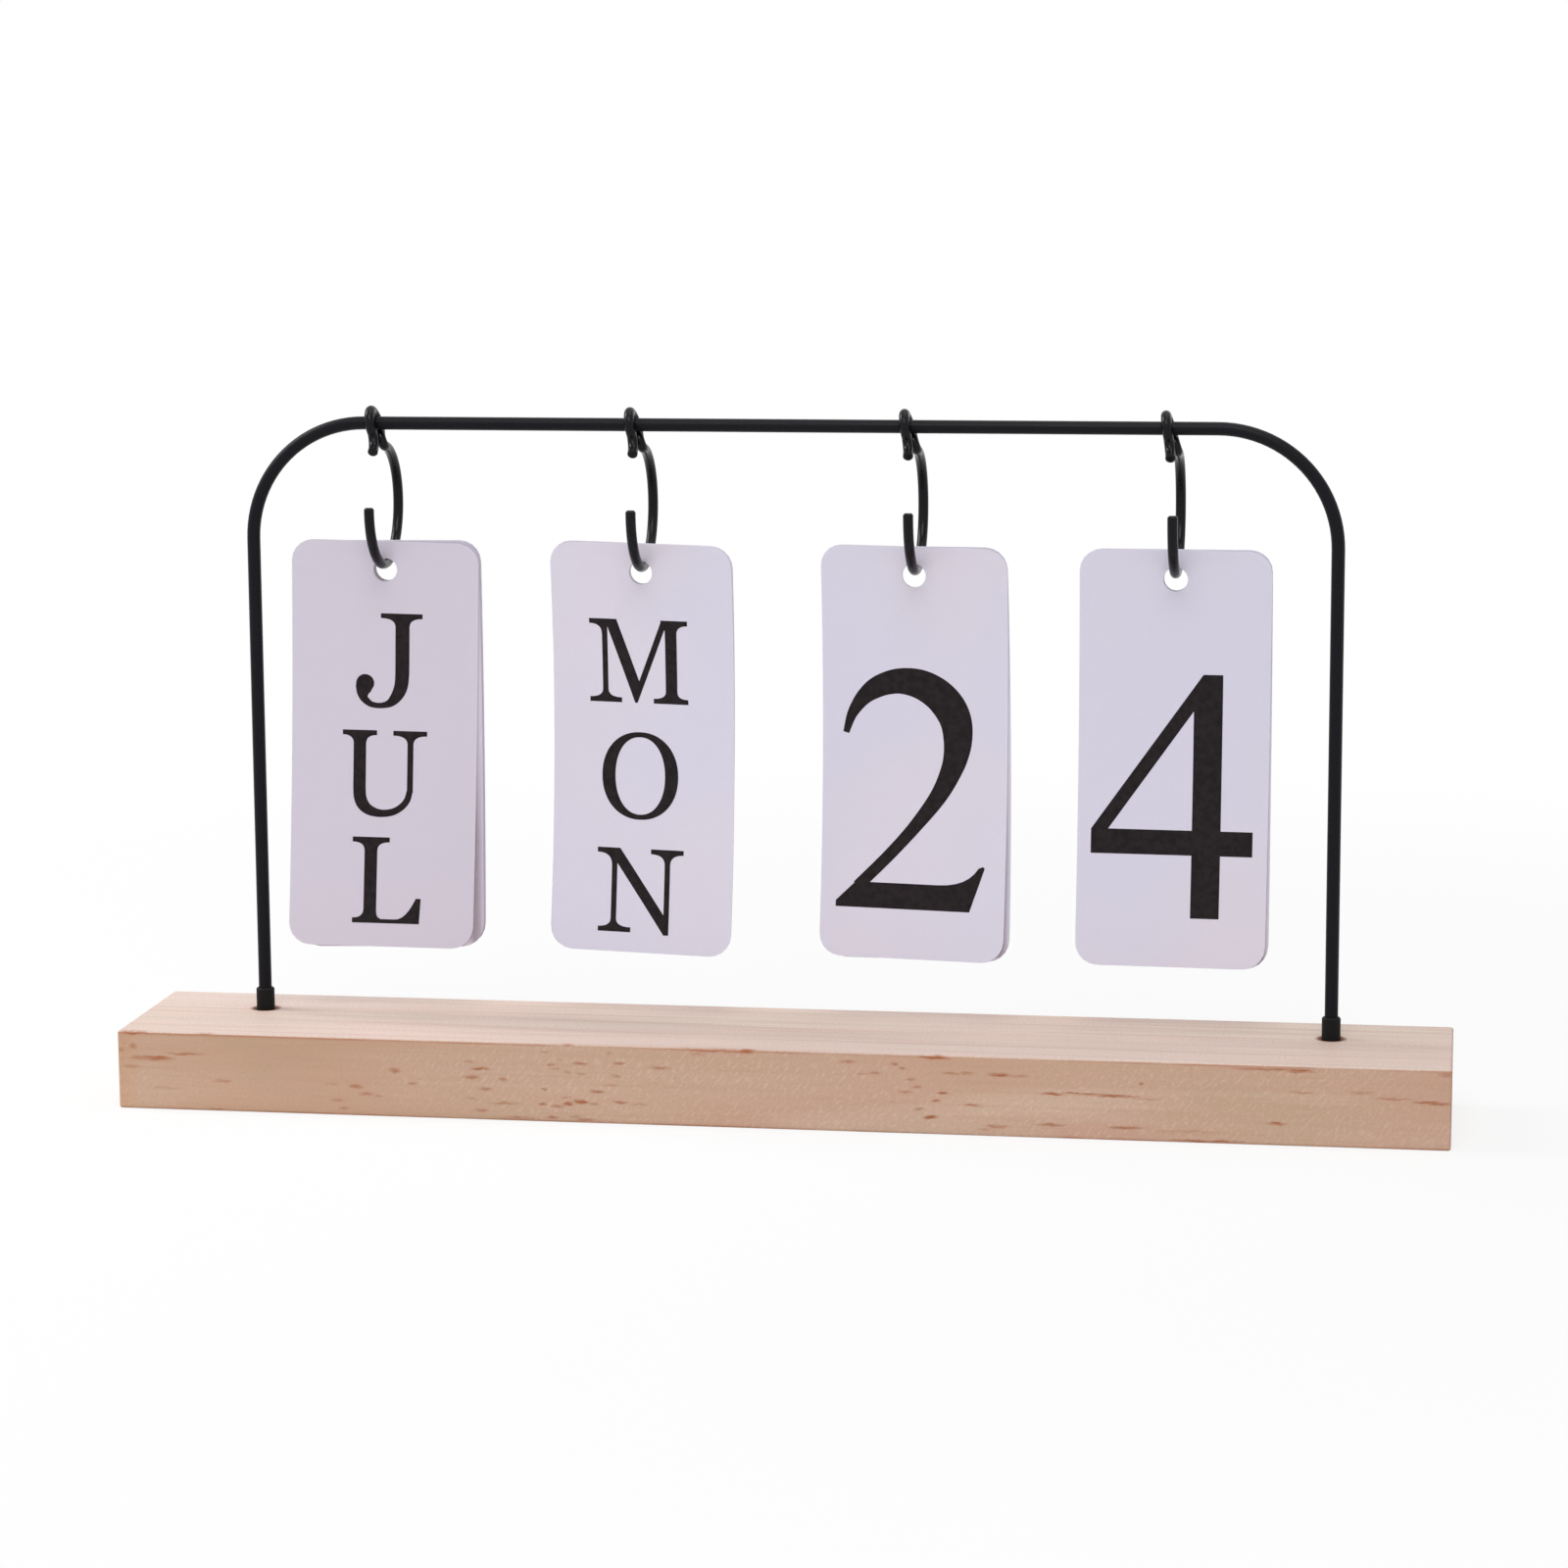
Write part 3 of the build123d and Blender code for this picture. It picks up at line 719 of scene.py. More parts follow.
def read_card(node):
    """A flat card's middle, directions and sizes, and its hole, all from its own corners."""
    corners = np.unique(np.round(vertices_of(node), 7), axis=0)
    middle = corners.mean(axis=0)
    thin_way = np.linalg.svd(corners - middle, full_matrices=False)[2][2]
    front = -thin_way if thin_way[1] > 0 else thin_way
    up = np.array([0.0, 0.0, 1.0]) - front * front[2]
    up /= np.linalg.norm(up)
    right = np.cross(up, front)
    turn = smallest_box_turn(np.stack([(corners - middle) @ right, (corners - middle) @ up], axis=1))
    right, up = right * np.cos(turn) + up * np.sin(turn), up * np.cos(turn) - right * np.sin(turn)
    local = np.stack([(corners - middle) @ way for way in (right, up, front)], axis=1)
    low, high = local.min(axis=0), local.max(axis=0)
    width, height, thickness = high - low
    to_centre = (low + high) / 2
    centre = middle + right * to_centre[0] + up * to_centre[1] + front * to_centre[2]
    local -= to_centre
    side = local[np.abs(local[:, 0]) > width / 2 - tolerance]
    corner_radius = height / 2 - np.abs(side[:, 1]).max()
    hole = local[(np.abs(local[:, 0]) < width / 4) & (np.abs(local[:, 1]) < height / 2 - MM)]
    hole_low, hole_high = hole.min(axis=0), hole.max(axis=0)
    return {"centre": centre, "right": right, "up": up, "front": front, "width": width,
            "height": height, "thickness": thickness, "corner": corner_radius,
            "hole_a": (hole_low[0] + hole_high[0]) / 2, "hole_b": (hole_low[1] + hole_high[1]) / 2,
            "hole_radius": (hole_high[1] - hole_low[1]) / 2}


cards = {}
for stack in stack_names:
    for node in sorted(name for name in frame["nodes"] if name.startswith(f"{stack}_card_")):
        cards[node] = read_card(node)
sizes = {key: round(value / MM, 3) for key, value in cards["month_card_1"].items() if np.ndim(value) == 0}
print("cards:", len(cards), sizes)

# %% The bend and the outline
card_sag = 3.0 * MM


def on_card(card, a, b, lift):
    """The place of a point a across and b up from the card's middle, lift in front of its middle layer.

    With s the share of the way from the hole down to the bottom edge, the card is pushed back by
    four times its sag times s times one less s, which is a shallow arch, nothing at the hole.
    """
    share = (card["hole_b"] - b) / (card["hole_b"] + card["height"] / 2)
    forward = lift - card_sag * 4 * share * (1 - share)
    return (card["centre"] + a[..., None] * card["right"] + b[..., None] * card["up"]
            + forward[..., None] * card["front"])


def rounded_outline(width, height, radius, count):
    """A rectangle with round corners, as evenly spaced points: four quarter circles joined by lines."""
    turn = np.linspace(0, np.pi / 2, 24)
    corners = []
    for k, (side_a, side_b) in enumerate(((1, 1), (-1, 1), (-1, -1), (1, -1))):
        corner_turn = turn + k * np.pi / 2
        corners.append(np.stack([side_a * (width / 2 - radius) + radius * np.cos(corner_turn),
                                 side_b * (height / 2 - radius) + radius * np.sin(corner_turn)], 1))
    line = np.concatenate(corners + [corners[0][:1]])
    way = np.concatenate([[0], np.cumsum(np.linalg.norm(np.diff(line, axis=0), axis=1))])
    steps = np.linspace(0, way[-1], count, endpoint=False)
    return np.stack([np.interp(steps, way, line[:, 0]), np.interp(steps, way, line[:, 1])], 1)


print("the cards' middles are pushed back by", card_sag / MM, "millimetres")

# %% Bend the cards
# The painted shadow that the front card would cast on the right margin of each card behind it
card_shadow_width, card_shadow_fade = 3.4 * MM, 1.3 * MM
card_shadow_at_edge = 0.15
card_shadow_starts, card_shadow_full = 8 * MM, -22 * MM


def card_shadow(inset, b):
    """The painted shadow of the card in front, inset from its right edge and b up from its middle.

    It grows with the inset over one fade and ends over half a fade at the shadow's width, and it grows
    downwards from nothing where it starts to its full share lower down.
    """
    grown = card_shadow_at_edge + (1 - card_shadow_at_edge) * inset / card_shadow_fade
    band = np.minimum(grown, (card_shadow_width - inset) / (0.5 * card_shadow_fade))
    return np.clip(band, 0, 1) * np.clip((card_shadow_starts - b) / (card_shadow_starts - card_shadow_full), 0, 1)


def bent_card(card, around=176, steps=27):
    """The closed profile carried round the hole, its faces, and how much painted shadow each corner of it
    takes.

    A spoke runs from the hole's rim to a point of the card's outline. On the rim the spokes stand
    halfway between straight at their point and evenly spread.
    """
    outline = rounded_outline(card["width"], card["height"], card["corner"], around)
    hole = np.array([card["hole_a"], card["hole_b"]])
    toward = outline - hole
    straight = np.unwrap(np.arctan2(toward[:, 1], toward[:, 0]))
    even = straight[0] + np.linspace(0, 2 * np.pi, around, endpoint=False)
    even += (straight - even).mean()
    spoke = (straight + even) / 2
    rim = hole + card["hole_radius"] * np.stack([np.cos(spoke), np.sin(spoke)], 1)
    share = np.linspace(0, 1, steps)
    share = np.concatenate([share, share[::-1]])
    lift = np.repeat([card["thickness"] / 2, -card["thickness"] / 2], steps)
    a = rim[:, :1] + (outline - rim)[:, :1] * share
    b = rim[:, 1:] + (outline - rim)[:, 1:] * share
    points = on_card(card, a, b, np.broadcast_to(lift, a.shape))
    shade = card_shadow(card["width"] / 2 - a, b) * (lift > 0)
    return points.reshape(-1, 3), closed_grid(around, 2 * steps), shade.ravel()


for node, card in cards.items():
    corners, faces, shade = bent_card(card)
    piece, volume = make_piece(f"{node}_bent", corners, [faces], board_finish, node)
    # Every card but the front one takes the painted shadow of the card in front
    if not node.endswith("_1"):
        layer = piece.data.attributes.new("painted_card_shadow", "FLOAT", "POINT")
        layer.data.foreach_set("value", shade.astype(np.float32))
    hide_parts(node)
print("bent", len(cards), "cards of", len(faces), "faces; one holds", round(volume / MM**3, 1), "cubic mm")

# %% [markdown]
# ## The letters
# The print is set in an old-style book letter: thick upright strokes, thin joining ones, and feet
# that spread in a small curve. A letter could be drawn as one long outline, but it is easier to
# build it the way a pen does, from a few overlapping strokes, and to melt them together afterwards.
# A straight stroke is a leaning strip cut level at both ends. A round one is a ribbon: a smooth line
# through a few points, with a width at each. Sizes are in millimetres, up from the line that the
# letters stand on, and sideways from the letter's own middle.

# %% Strokes of the pen
round_steps = 8


def ease(start, corner, end, steps=7):
    """A curve that leaves start towards corner and reaches end from it.

    Its points are (1-t)(1-t) start + 2t(1-t) corner + tt end, with t from 0 to 1.
    """
    t = np.linspace(0, 1, steps)[:, None]
    start, corner, end = np.array(start), np.array(corner), np.array(end)
    return (1 - t) ** 2 * start + 2 * t * (1 - t) * corner + t ** 2 * end


def strip(low, high, width):
    """A straight stroke from low to high, cut level at both ends, its width measured sideways."""
    half = np.array([width / 2, 0])
    return np.array([low - half, low + half, high + half, high - half])


def block(left, right, low, high):
    """An upright rectangle."""
    return np.array([(left, low), (right, low), (right, high), (left, high)])


def smooth_line(knots):
    """A smooth line through the knots, each span a cubic whose slopes come from the neighbours.

    The end knots are mirrored outwards to give the end spans a neighbour.
    """
    knots = np.asarray(knots, float)
    padded = np.concatenate([2 * knots[:1] - knots[1:2], knots, 2 * knots[-1:] - knots[-2:-1]])
    before, start, end, after = (padded[k:len(knots) + k - 1, None] for k in range(4))
    t = np.linspace(0, 1, round_steps, endpoint=False)[None, :, None]
    line = 0.5 * (2 * start + (end - before) * t + (2 * before - 5 * start + 4 * end - after) * t ** 2
                  + (3 * start - before - 3 * end + after) * t ** 3)
    return np.concatenate([line.reshape(-1, knots.shape[1]), knots[-1:]])


def ribbon(*knots):
    """A round stroke: knots of x, y and width, half the width laid off to each side of the line."""
    line = smooth_line(knots)
    way = np.gradient(line[:, :2], axis=0)
    side = np.stack([-way[:, 1], way[:, 0]], 1) / np.linalg.norm(way, axis=1)[:, None]
    half = side * line[:, 2:] / 2
    return np.concatenate([line[:, :2] - half, (line[:, :2] + half)[::-1]])


def oval(x, y, half_width, half_height, fullness=2.14, count=56):
    """A closed round shape: powers of a cosine and a sine make it a little fuller than an ellipse."""
    turn = np.linspace(0, 2 * np.pi, count, endpoint=False)
    across = np.sign(np.cos(turn)) * np.abs(np.cos(turn)) ** (2 / fullness)
    along = np.sign(np.sin(turn)) * np.abs(np.sin(turn)) ** (2 / fullness)
    return np.stack([x + half_width * across, y + half_height * along], 1)


sample = ribbon((0, 0, 1), (1, 1, 1), (2, 1, 1), (3, 0, 1))
print("a ribbon through four points has", len(sample), "corners")

# %% Feet, arms and points
cap = 19.2
thick, thin = 2.85, 1.25


def foot(x, width=thick, level=0.0, left=2.5, right=2.5, up=1, slab=1.1, curve=2.0):
    """A spreading foot of a stroke at x, a slab with a curve to the stroke on either side.

    It stands on its level, or hangs from it where up is -1.
    """
    half = width / 2
    rising = ease((x + half + right, slab), (x + half, slab), (x + half, slab + curve))
    falling = ease((x - half, slab + curve), (x - half, slab), (x - half - left, slab))
    shape = np.concatenate([[(x - half - left, 0.0), (x + half + right, 0.0)], rising, falling])
    return shape * [1, up] + [0, level]


def head(x, width=thick, left=2.5, right=2.5, curve=2.0):
    """A foot turned upside down at the top of a letter."""
    return foot(x, width, cap, left, right, -1, curve=curve)


def stem(x, width=thick, right=2.5):
    """An upright stroke with a foot and a head that spread 2.5 to the left, and by right to the right."""
    return [block(x - width / 2, x + width / 2, 0, cap), foot(x, width, right=right),
            head(x, width, right=right)]


def arm(x, tip, level=0.0, up=1, beak=5.4, slab=0.85):
    """A thin level stroke from x to tip, ending in a beak that points up, or down where up is -1."""
    out = np.sign(tip - x)
    point = 0.2 * beak
    inner = ease((tip - out * point, beak), (tip - out * 2.9 * point, slab), (tip - out * 5 * point, slab))
    shape = np.concatenate([[(x, 0.0), (tip - out * 0.3, 0.0), (tip, beak)], inner, [(x, slab)]])
    return shape * [1, up] + [0, level]


def wedge(left_x, right_x, point_x, left_width=thick, right_width=thin, point_y=-0.2):
    """Two leaning strokes that meet in a point below; the inner sides run on until they cross."""
    half_point = 0.28
    rise = cap - point_y
    left_slope = (point_x - half_point - left_x + left_width / 2) / rise
    right_slope = (right_x + right_width / 2 - point_x - half_point) / rise
    left_inner, right_inner = left_x + left_width / 2, right_x - right_width / 2
    drop = (right_inner - left_inner) / (left_slope + right_slope)
    return np.array([(left_x - left_width / 2, cap), (point_x - half_point, point_y),
                     (point_x + half_point, point_y), (right_x + right_width / 2, cap),
                     (right_inner, cap), (left_inner + left_slope * drop, cap - drop), (left_inner, cap)])


print("the strokes of an upright have", [len(stroke) for stroke in stem(0)], "corners")

# %% [markdown]
# Now the letters themselves. The front cards' letters follow the real ones stroke by stroke, and
# the others are drawn to match, with the same thick and thin strokes, feet and beaks. Each entry is
# a list of strokes of ink. Only a closed round has a second list, of holes.

# %% Letters
legs_of_a = wedge(-7.2, 7.4, 0.1, thin, thick, point_y=-0.4) * [1, -1] + [0, cap]
round_of_c = [(7.5, 14.3, 1), (6, 17.2, 1.1), (2.2, 19, 1.2), (-2.8, 18.1, 2.1), (-6.5, 14.7, 3),
              (-7.6, 9.6, 3.2), (-6.5, 4.6, 2.9), (-2.7, 1, 2), (2.4, 0.25, 1.3)]
inks = {
    "A": [legs_of_a, block(-5.2, 5, 5.9, 6.9), foot(-7.2, thin, curve=1.1), foot(7.4, curve=1.1)],
    "B": stem(-4.8, right=0.4) + [
        ribbon((-4.5, 18.65, 1.1), (-0.5, 18.6, 1.15), (3.2, 17.4, 2.1), (4.7, 14.6, 2.9), (3.2, 11.6, 2.1),
               (-0.5, 10.3, 1.1), (-4.5, 10.2, 1)),
        ribbon((-4.5, 10.2, 1), (0.3, 10.05, 1.1), (4.6, 8.6, 2.3), (6.2, 5.4, 3.05), (4.7, 2.1, 2.3),
               (0.3, 0.6, 1.15), (-4.5, 0.55, 1.1))],
    "C": [ribbon(*round_of_c, (6.2, 1.9, 1), (8.3, 5, 0.7)), strip((7.9, 12.7), (7.6, 19.1), 0.95)],
    "D": stem(-5.9, right=0.4) + [
        ribbon((-5.5, 18.65, 1.1), (-0.2, 18.3, 1.4), (5.1, 15.6, 2.5), (7.3, 9.7, 3.2), (5.1, 3.7, 2.5),
               (-0.2, 0.9, 1.4), (-5.5, 0.55, 1.1))],
    "E": stem(-4.6, right=1.2) + [
        arm(-4.6, 6, cap, up=-1, beak=4.6), arm(-4.6, 7), block(-4.6, 2.9, 9.4, 10.3),
        strip((3, 7.3), (3, 12.4), 0.9)],
    "F": stem(-4.2) + [
        arm(-4.2, 6.4, cap, up=-1, beak=4.8), block(-4.2, 3.2, 9, 9.9),
        strip((3.3, 6.9), (3.3, 12), 0.9)],
    "G": [ribbon(*round_of_c, (6.6, 1.4, 1.8)), strip((7.9, 12.7), (7.6, 19.1), 0.95),
          block(5.4, 8.2, 1, 7.8), foot(6.8, 2.8, 8.2, up=-1)],
    "H": stem(-6.6) + stem(6.6) + [block(-6.6, 6.6, 9.4, 10.5)],
    "I": stem(0),
    "J": [block(1.38, 4.58, 5, cap), head(2.98, 3.2, 3.3, 2.95), oval(-5.46, 2.95, 2.05, 2.05, 2),
          ribbon((2.98, 5.4, 3.2), (2.8, 2.9, 3.1), (2.3, 1.15, 2.95), (1.4, -0.4, 2.5), (0.3, -1.5, 1.9),
                 (-1, -2.05, 1.4), (-2.5, -2.2, 1.25), (-4, -1.95, 1.35), (-5, -1.3, 1.6),
                 (-5.75, -0.45, 1.9), (-5.95, 0.6, 2.8), (-5.8, 1.6, 3.6), (-5.6, 2.8, 3.9))],
    "L": stem(-3.77)[:1] + [foot(-3.77, right=0.9), head(-3.77, left=2.7, right=2.75),
                            arm(-3.77, 7.6, beak=5.65, slab=0.9)],
    "M": [block(-8.61, -7.33, 0, cap), block(6.24, 8.96, 0, cap), wedge(-6.55, 6.2, -0.75, 2.8, 1.5, 0),
          foot(-7.97, 1.28, 0, 3.05, 3.2, curve=1.9), foot(7.6, 2.72, 0, 2.88, 2.56, curve=1.7),
          head(-7.97, 1.28, 2.95, 0.1, 2.4), head(7.6, 2.72, 1, 2.56)],
    "N": [block(-6.7, -5.42, 0, cap), block(5.83, 7.12, -0.3, cap),
          foot(-6.06, 1.28, 0, 3, 3.5, curve=1.9),
          np.array([(-7.9, cap), (-4.8, cap), (7.12, 2.45), (7.12, -0.3), (5.95, -0.3)]),
          head(-6.06, 1.28, 3.45, 0.1, 2.9), head(6.47, 1.29, 3.3, 3.15, 2.4)],
    "O": [oval(0, 9.6, 9, 10.1)],
    "P": stem(-4.4) + [
        ribbon((-4, 18.65, 1.1), (0.2, 18.6, 1.15), (4.2, 17.2, 2.3), (5.6, 13.9, 3), (4.1, 10.4, 2.2),
               (0.2, 9, 1.15), (-4, 8.9, 1))],
    "R": stem(-6, right=2.2) + [
        ribbon((-5.5, 18.65, 1.1), (-1.4, 18.6, 1.15), (2.5, 17.3, 2.2), (3.9, 14.3, 2.9), (2.5, 11.2, 2.1),
               (-1.4, 9.9, 1.1), (-5.5, 9.8, 1)),
        strip((7, 0), (0.2, 10.1), 3), foot(7.4, 3, 0, 0.3, 2.2, curve=0.9)],
    "S": [ribbon((5.3, 14.4, 0.9), (3.9, 17.5, 1.2), (0.4, 18.95, 1.2), (-3.6, 17.6, 2.3), (-4.7, 14.3, 3),
                 (-2.4, 11.4, 3.3), (1.6, 8.9, 3.4), (4.7, 5.6, 3.1), (3.7, 1.9, 2.4), (-0.3, 0.25, 1.2),
                 (-4.2, 1.5, 1.1), (-5.9, 5, 0.9)),
          strip((5.6, 13.4), (5.2, 19.1), 0.95), strip((-5.9, 0.1), (-6.1, 6), 0.95)],
    "T": stem(0)[:2] + [arm(-0.5, 8.1, cap, up=-1, beak=4.8), arm(0.5, -8.1, cap, up=-1, beak=4.8)],
    "U": [block(-7.2, -4.36, 5.5, cap), block(5.05, 6.4, 5, cap), head(-5.78, 2.84, 2.5, 2.45),
          head(5.72, 1.35, 3.25, 3.1),
          ribbon((-5.78, 6, 2.84), (-5.6, 3.8, 2.85), (-4.9, 2.1, 2.75), (-3.4, 0.8, 2.3),
                 (-0.9, 0.15, 1.75), (1.8, 0.5, 1.6), (3.85, 1.7, 1.5), (5.15, 3.4, 1.45),
                 (5.72, 5.6, 1.35))],
    "V": [wedge(-6.7, 6.9, 0.1), head(-6.7, curve=1.1), head(6.9, thin, curve=1.1)],
    "W": [wedge(-10, 0.7, -4.6), wedge(-1.6, 9.9, 4.6), head(-10, curve=1.1), head(-0.9, 3.4, curve=1.1),
          head(9.9, thin, curve=1.1)],
    "Y": [wedge(-6.6, 6.6, 0.2, point_y=6.6), block(-1.3, 1.55, 0, 9.6), foot(0.1), head(-6.6, curve=1.1),
          head(6.6, thin, curve=1.1)],
}
holes = {"O": [oval(0, 9.6, 5.88, 8.94)]}
print("letters:", "".join(inks))

# %% [markdown]
# The date's figures are the same hand, nearly three times as tall. The four has no feet, only cut
# ends, and the two ends in a beak like the foot of an L. The nine is a six turned half round.

# %% Figures
figure_height = 55.0
figure_stem = 6.4
six = [ribbon((12.4, 54.2, 1.2), (4.2, 50.8, 3.2), (-5.4, 42.6, 5.4), (-11.5, 31, 6.6), (-12.9, 18.5, 6.8),
              (-9.9, 7.4, 5.4), (-1, 1.2, 3), (7.9, 4.6, 4.6), (12.7, 13.2, 6.4), (12.2, 23, 6.2),
              (6.6, 30.4, 4.2), (-1.2, 32, 2.6), (-9.5, 27.6, 1.6))]
foot_of_two = np.concatenate([[(-17.1, 1.4), (-17.1, 0), (13.8, 0), (17.1, 10), (16.7, 10.4)],
                              ease((15.7, 10), (13.2, 5.8), (6.6, 5.8)), [(-12.6, 5.8)]])
inks.update({
    "0": [oval(0, 27.5, 16.6, 28.1)],
    "1": [block(-1.6, 4.8, 0, figure_height), foot(1.6, figure_stem, 0, 6, 6, slab=1.8, curve=3.6),
          np.concatenate([[(4.8, 55), (3, 55)], ease((3, 55), (-2.6, 49.6), (-10.6, 48.8)),
                          [(-10.6, 46.8), (-1, 46.6)]])],
    "2": [foot_of_two,
          ribbon((-15.25, 39.8, 1.4), (-14, 43.8, 2.25), (-12.2, 46.8, 3.15), (-10.7, 48.5, 3.8),
                 (-8.8, 50, 4.6), (-6.1, 51.3, 5.2), (-2.5, 52, 5.9), (1.8, 51.4, 6.8),
                 (5.7, 49.35, 7.4), (8.55, 46.3, 7.6), (10.1, 42.8, 7.2), (10.45, 38.6, 6.5),
                 (9.93, 34.8, 5.6), (8.97, 31.8, 4.9), (7.16, 27.8, 4.2), (4.65, 23.8, 3.6),
                 (0, 17.8, 2.9), (-5.3, 11.8, 2.7), (-12.1, 4.8, 2.65))],
    "3": [ribbon((-14, 41.6, 1.5), (-12, 47, 2.8), (-7.6, 51.2, 4.2), (-1.2, 52.6, 5),
                 (5, 50.3, 6.2), (7.8, 44.2, 6.9), (5.4, 36.6, 5.4), (-0.4, 31.6, 3.4), (-6.4, 29.6, 1.8)),
          ribbon((-6.4, 29.6, 1.6), (1.6, 30, 3.4), (8.4, 26, 6), (11.4, 17.4, 7.4), (9.2, 8, 6.6),
                 (2.4, 2.4, 4.4), (-6, 1.6, 3), (-13.4, 4.8, 2.2)), oval(-14, 6.6, 2.7, 2.7, 2)],
    "4": [np.array([(4.5, 0), (10.9, 0), (10.9, figure_height), (6.55, figure_height), (4.5, 52)]),
          block(-18.05, 18.05, 14.1, 19.7), strip((-16.17, 19.6), (8.43, figure_height), 3.76)],
    "5": [np.array([(-9.6, 55), (-9.6, 48.6), (11.6, 48.6), (13.8, 55)]),
          strip((-11.8, 28), (-9, 54), 1.8),
          ribbon((-11.8, 28.8, 1.6), (-4, 32.6, 4.2), (4.2, 31.2, 5.8), (10.6, 25, 7),
                 (11.6, 15.4, 7.2), (7.2, 6.2, 5.8), (-1.2, 1.8, 3.6), (-8.6, 2, 2.6), (-14, 5, 2)),
          oval(-14.2, 6.8, 2.7, 2.7, 2)],
    "6": six,
    "7": [np.array([(-14, 55), (15.6, 55), (15.6, 52.6), (12.6, 49), (-12.6, 49), (-15.4, 44),
                    (-16.4, 44.4)]),
          ribbon((13.4, 51.4, 3), (6.6, 39, 3.8), (1, 24, 5.2), (-1.6, 10, 6.4),
                 (-2.2, 0, 6.8))],
    "8": [oval(0, 41.4, 12.6, 14.1), oval(0, 15.4, 15.2, 16)],
    "9": [[0, figure_height] - shape for shape in six],
})
holes["0"] = [oval(0, 27.5, 10, 25.8)]
holes["8"] = [oval(0, 41.8, 7.2, 11.6), oval(0, 15.2, 9, 13.2)]
print("figures:", "".join(name for name in inks if name.isdigit()))

# %% [markdown]
# ## Melting strokes into ink
# To melt the strokes together, all their edges go into one flat net of triangles, which also cuts
# them where they cross. A triangle is ink if the strokes wind round its middle more often than the
# holes do. Counting how often an outline winds round a spot is simple: look from the spot to the
# right, add one for each edge that crosses the view going up, and take one away for each going down.

# %% Melt the strokes
# In millimetres: longer edges are cut, and corners that are closer together count as one
longest_edge = 2.4
closest = 0.00001


def joined(parts):
    """Several nets as one, each net's numbers moved up by the count of corners before it."""
    counts = [len(corners) for corners, net in parts]
    starts = np.cumsum([0] + counts[:-1])
    corners = np.concatenate([corners for corners, net in parts])
    return corners, np.concatenate([net + start for (_, net), start in zip(parts, starts)])


def directed(outline, turn):
    """The outline walked anticlockwise where turn is 1, and clockwise where it is -1."""
    following = np.roll(outline, -1, axis=0)
    area = (outline[:, 0] * following[:, 1] - outline[:, 1] * following[:, 0]).sum() / 2
    return outline if area * turn > 0 else outline[::-1]


def windings(outline, spots):
    """How often the outline goes round each spot: rising crossings to its right, less falling ones."""
    start, end = outline[None], np.roll(outline, -1, axis=0)[None]
    x, y = spots[:, None, 0], spots[:, None, 1]
    way_x, way_y = end[..., 0] - start[..., 0], end[..., 1] - start[..., 1]
    lean = way_x * (y - start[..., 1]) - (x - start[..., 0]) * way_y
    rising = (start[..., 1] <= y) & (end[..., 1] > y) & (lean > 0)
    falling = (start[..., 1] > y) & (end[..., 1] <= y) & (lean < 0)
    return rising.sum(axis=1) - falling.sum(axis=1)


def refined(outline):
    """The outline with long edges cut into equal parts."""
    following = np.roll(outline, -1, axis=0)
    parts = np.ceil(np.linalg.norm(following - outline, axis=1) / longest_edge).astype(int)
    parts = np.maximum(parts, 1)
    edge = np.repeat(np.arange(len(outline)), parts)
    share = (np.arange(parts.sum()) - np.repeat(np.cumsum(parts) - parts, parts)) / parts[edge]
    return outline[edge] + (following - outline)[edge] * share[:, None]


def melt(letter):
    """The letter's strokes as one flat net: its corners and its triangles of ink."""
    outlines = [directed(shape, 1) for shape in inks[letter]]
    outlines += [directed(shape, -1) for shape in holes.get(letter, [])]
    loops = [refined(outline) for outline in outlines]
    indices = [np.arange(len(loop)) for loop in loops]
    ways_round = [np.stack([index, np.roll(index, -1)], 1) for index in indices]
    corners, edges = joined(list(zip(loops, ways_round)))
    flat = [Vector(corner) for corner in corners.tolist()]
    net = delaunay_2d_cdt(flat, edges.tolist(), [], 0, closest)
    corners = np.array([tuple(corner) for corner in net[0]])
    triangles = np.array(net[2])
    middles = corners[triangles].mean(axis=1)
    inked = sum(windings(loop, middles) for loop in loops) > 0
    used, triangles = np.unique(triangles[inked], return_inverse=True)
    return corners[used], triangles.reshape(-1, 3)


nets = {letter: melt(letter) for letter in inks}
print("nets:", {letter: len(net[1]) for letter, net in nets.items()})

# %% [markdown]
# ## Printing the cards
# Months stand on both sides of six cards, weekdays on four, and the figures on two and five. The
# front of the pack shows the date of the day, and the backs are filled so that a card turned over
# the rings shows the next one. The ink is a thin closed sheet with walls round its edge. It follows
# the card's bend because its corners are placed by the same rule as the card's own.

# %% Set the faces
figure_foot = -36.0
faces_in_order = {
    "month": ("JUL", "AUG", "SEP", "OCT", "NOV", "DEC", "JAN", "FEB", "MAR", "APR", "MAY", "JUN"),
    "weekday": ("MON", "TUE", "WED", "THU", "FRI", "SAT", "SUN", ""),
    "tens": ("2", "3", "0", "1"),
    "units": ("4", "5", "6", "7", "8", "9", "0", "1", "2", "3"),
}
line_tops = (29.5, 3.2, -23.2)
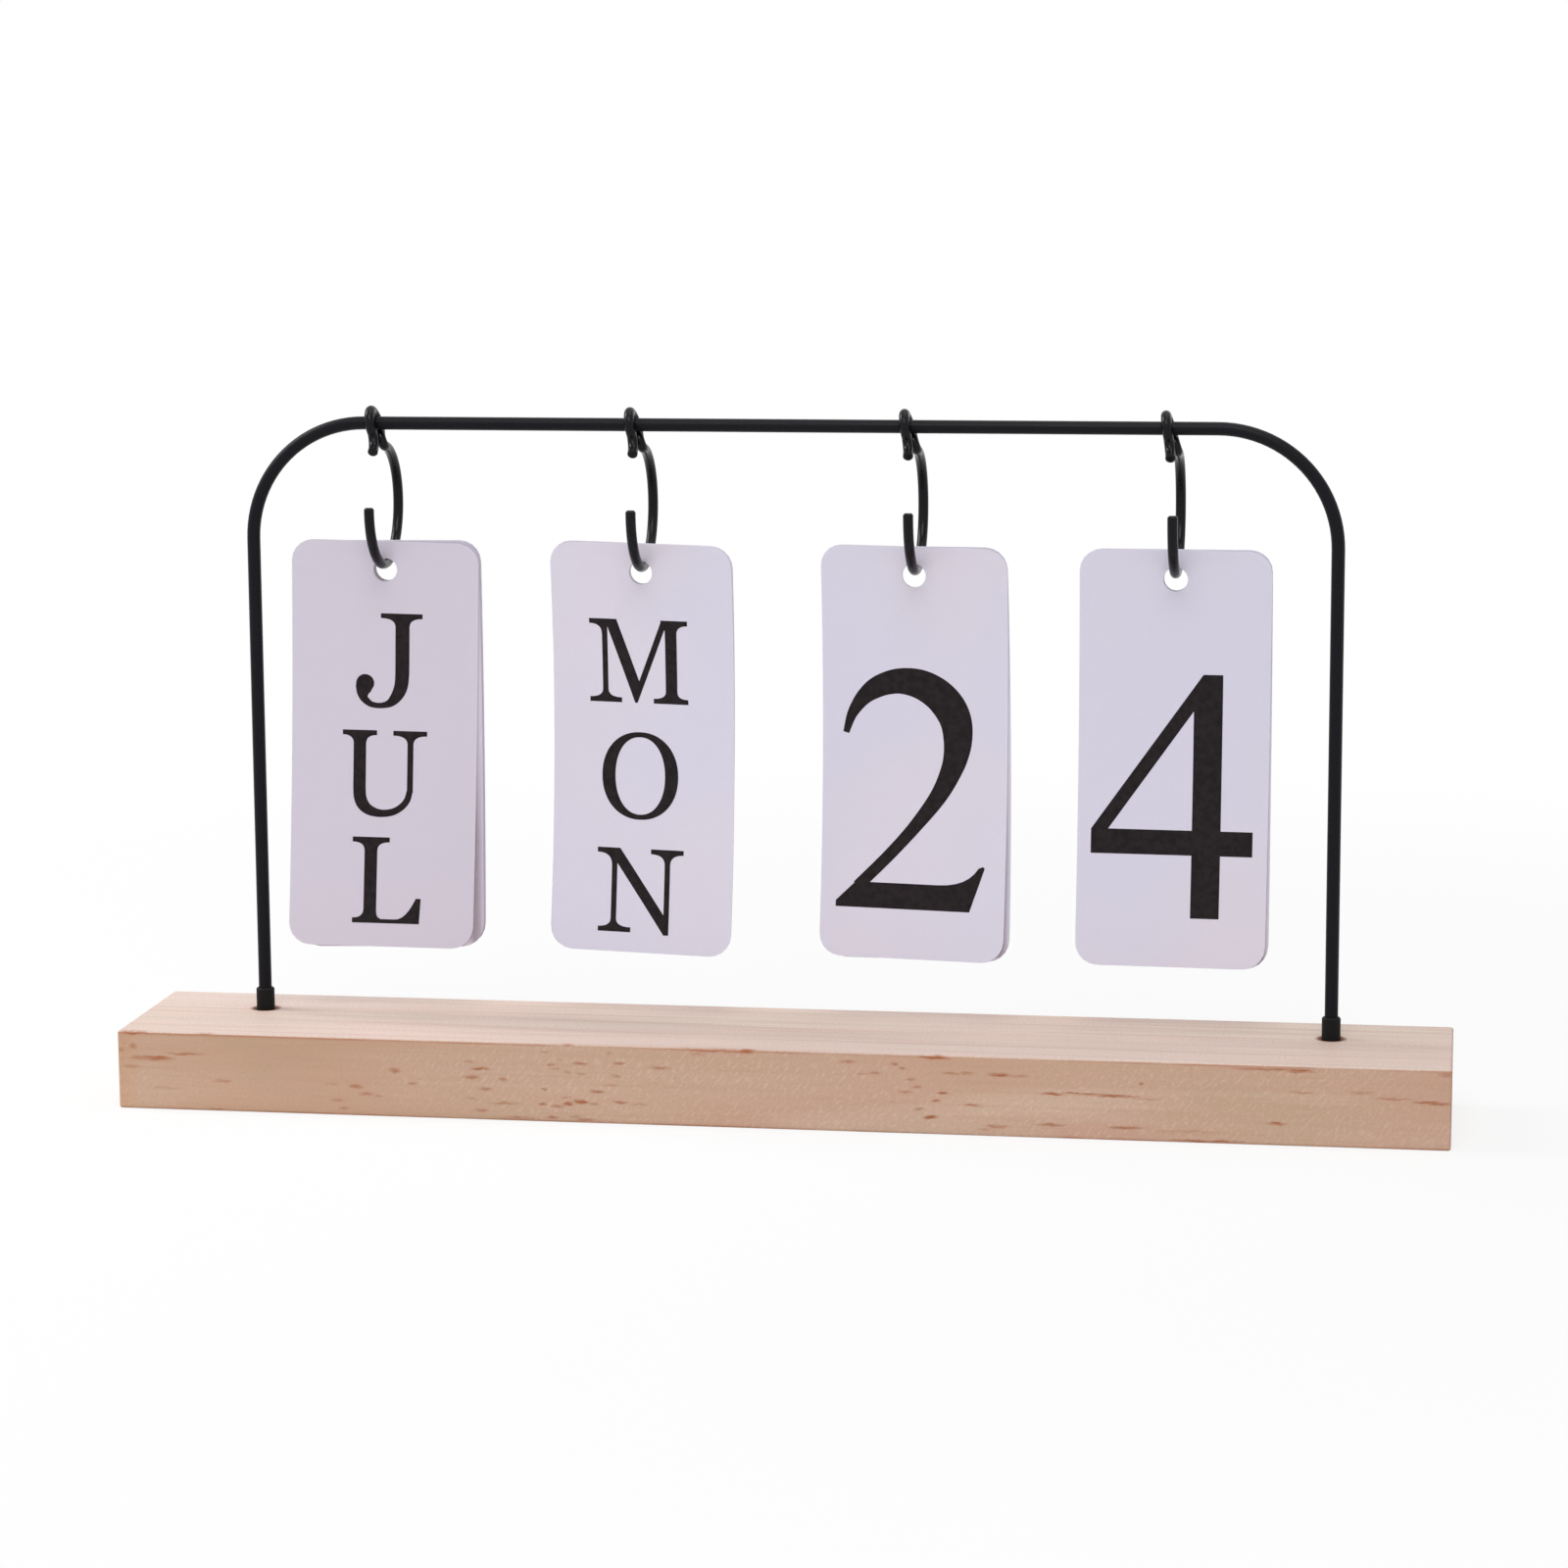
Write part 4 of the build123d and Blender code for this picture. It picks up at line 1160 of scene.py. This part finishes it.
# The front faces are set letter by letter: middle, top and height of each, in millimetres
set_by_eye = {"JUL": ((0.95, 30.25, 19.3), (0.2, 2.95, 19.4), (1.15, -21.85, 19.8)),
              "MON": ((-0.98, 29.5, 19.2), (-0.9, 3.05, 19.2), (-0.66, -23.3, 19.2)),
              "2": ((-0.6, 19.2, figure_height),), "4": ((-0.15, 19.0, figure_height),)}


def typeset(text):
    """The corners, in millimetres from the card's middle, and the triangles of a whole face."""
    tall = text.isdigit()
    height = figure_height if tall else cap
    plain = [(0.0, top, height) for top in ((figure_foot + figure_height,) if tall else line_tops)]
    placed = []
    for letter, (middle, top, wanted) in zip(text, set_by_eye.get(text, plain)):
        flat, triangles = nets[letter]
        placed.append((flat * wanted / height + [middle, top - wanted], triangles))
    return joined(placed)


print("faces in order:", faces_in_order)

# %% Print the cards
ink_proud, ink_sunk = 0.03 * MM, 0.02 * MM


def ink_sheet(card, text, side):
    """A thin closed sheet of ink on the front, where side is 1, or on the back, where it is -1.

    An edge that only one triangle has lies on the sheet's outline, and gets a wall.
    """
    flat, top = typeset(text)
    a, b = side * flat[:, 0] * MM, flat[:, 1] * MM
    levels = [side * (card["thickness"] / 2 + proud) for proud in (ink_proud, -ink_sunk)]
    points = np.concatenate([on_card(card, a, b, np.full(len(a), level)) for level in levels])
    count = len(flat)
    start, end = top[:, [0, 1, 2]].ravel(), top[:, [1, 2, 0]].ravel()
    alone = ~np.isin(start * count + end, end * count + start)
    start, end = start[alone], end[alone]
    walls = [np.stack([end, start, start + count], 1), np.stack([end, start + count, end + count], 1)]
    return points, np.concatenate([top, top[:, ::-1] + count, *walls])


printed = 0
for stack, texts in faces_in_order.items():
    half = len(texts) // 2
    for number in range(1, half + 1):
        node = f"{stack}_card_{number}"
        sides = ((texts[number - 1], 1), (texts[2 * half - number], -1))
        sheets = [ink_sheet(cards[node], text, side) for text, side in sides if text]
        points, triangles = joined(sheets)
        make_piece(f"{node}_print", points, [triangles], ink_finish, node)
        printed += len(triangles)
print("printed", len(cards), "cards with", printed, "triangles of ink")
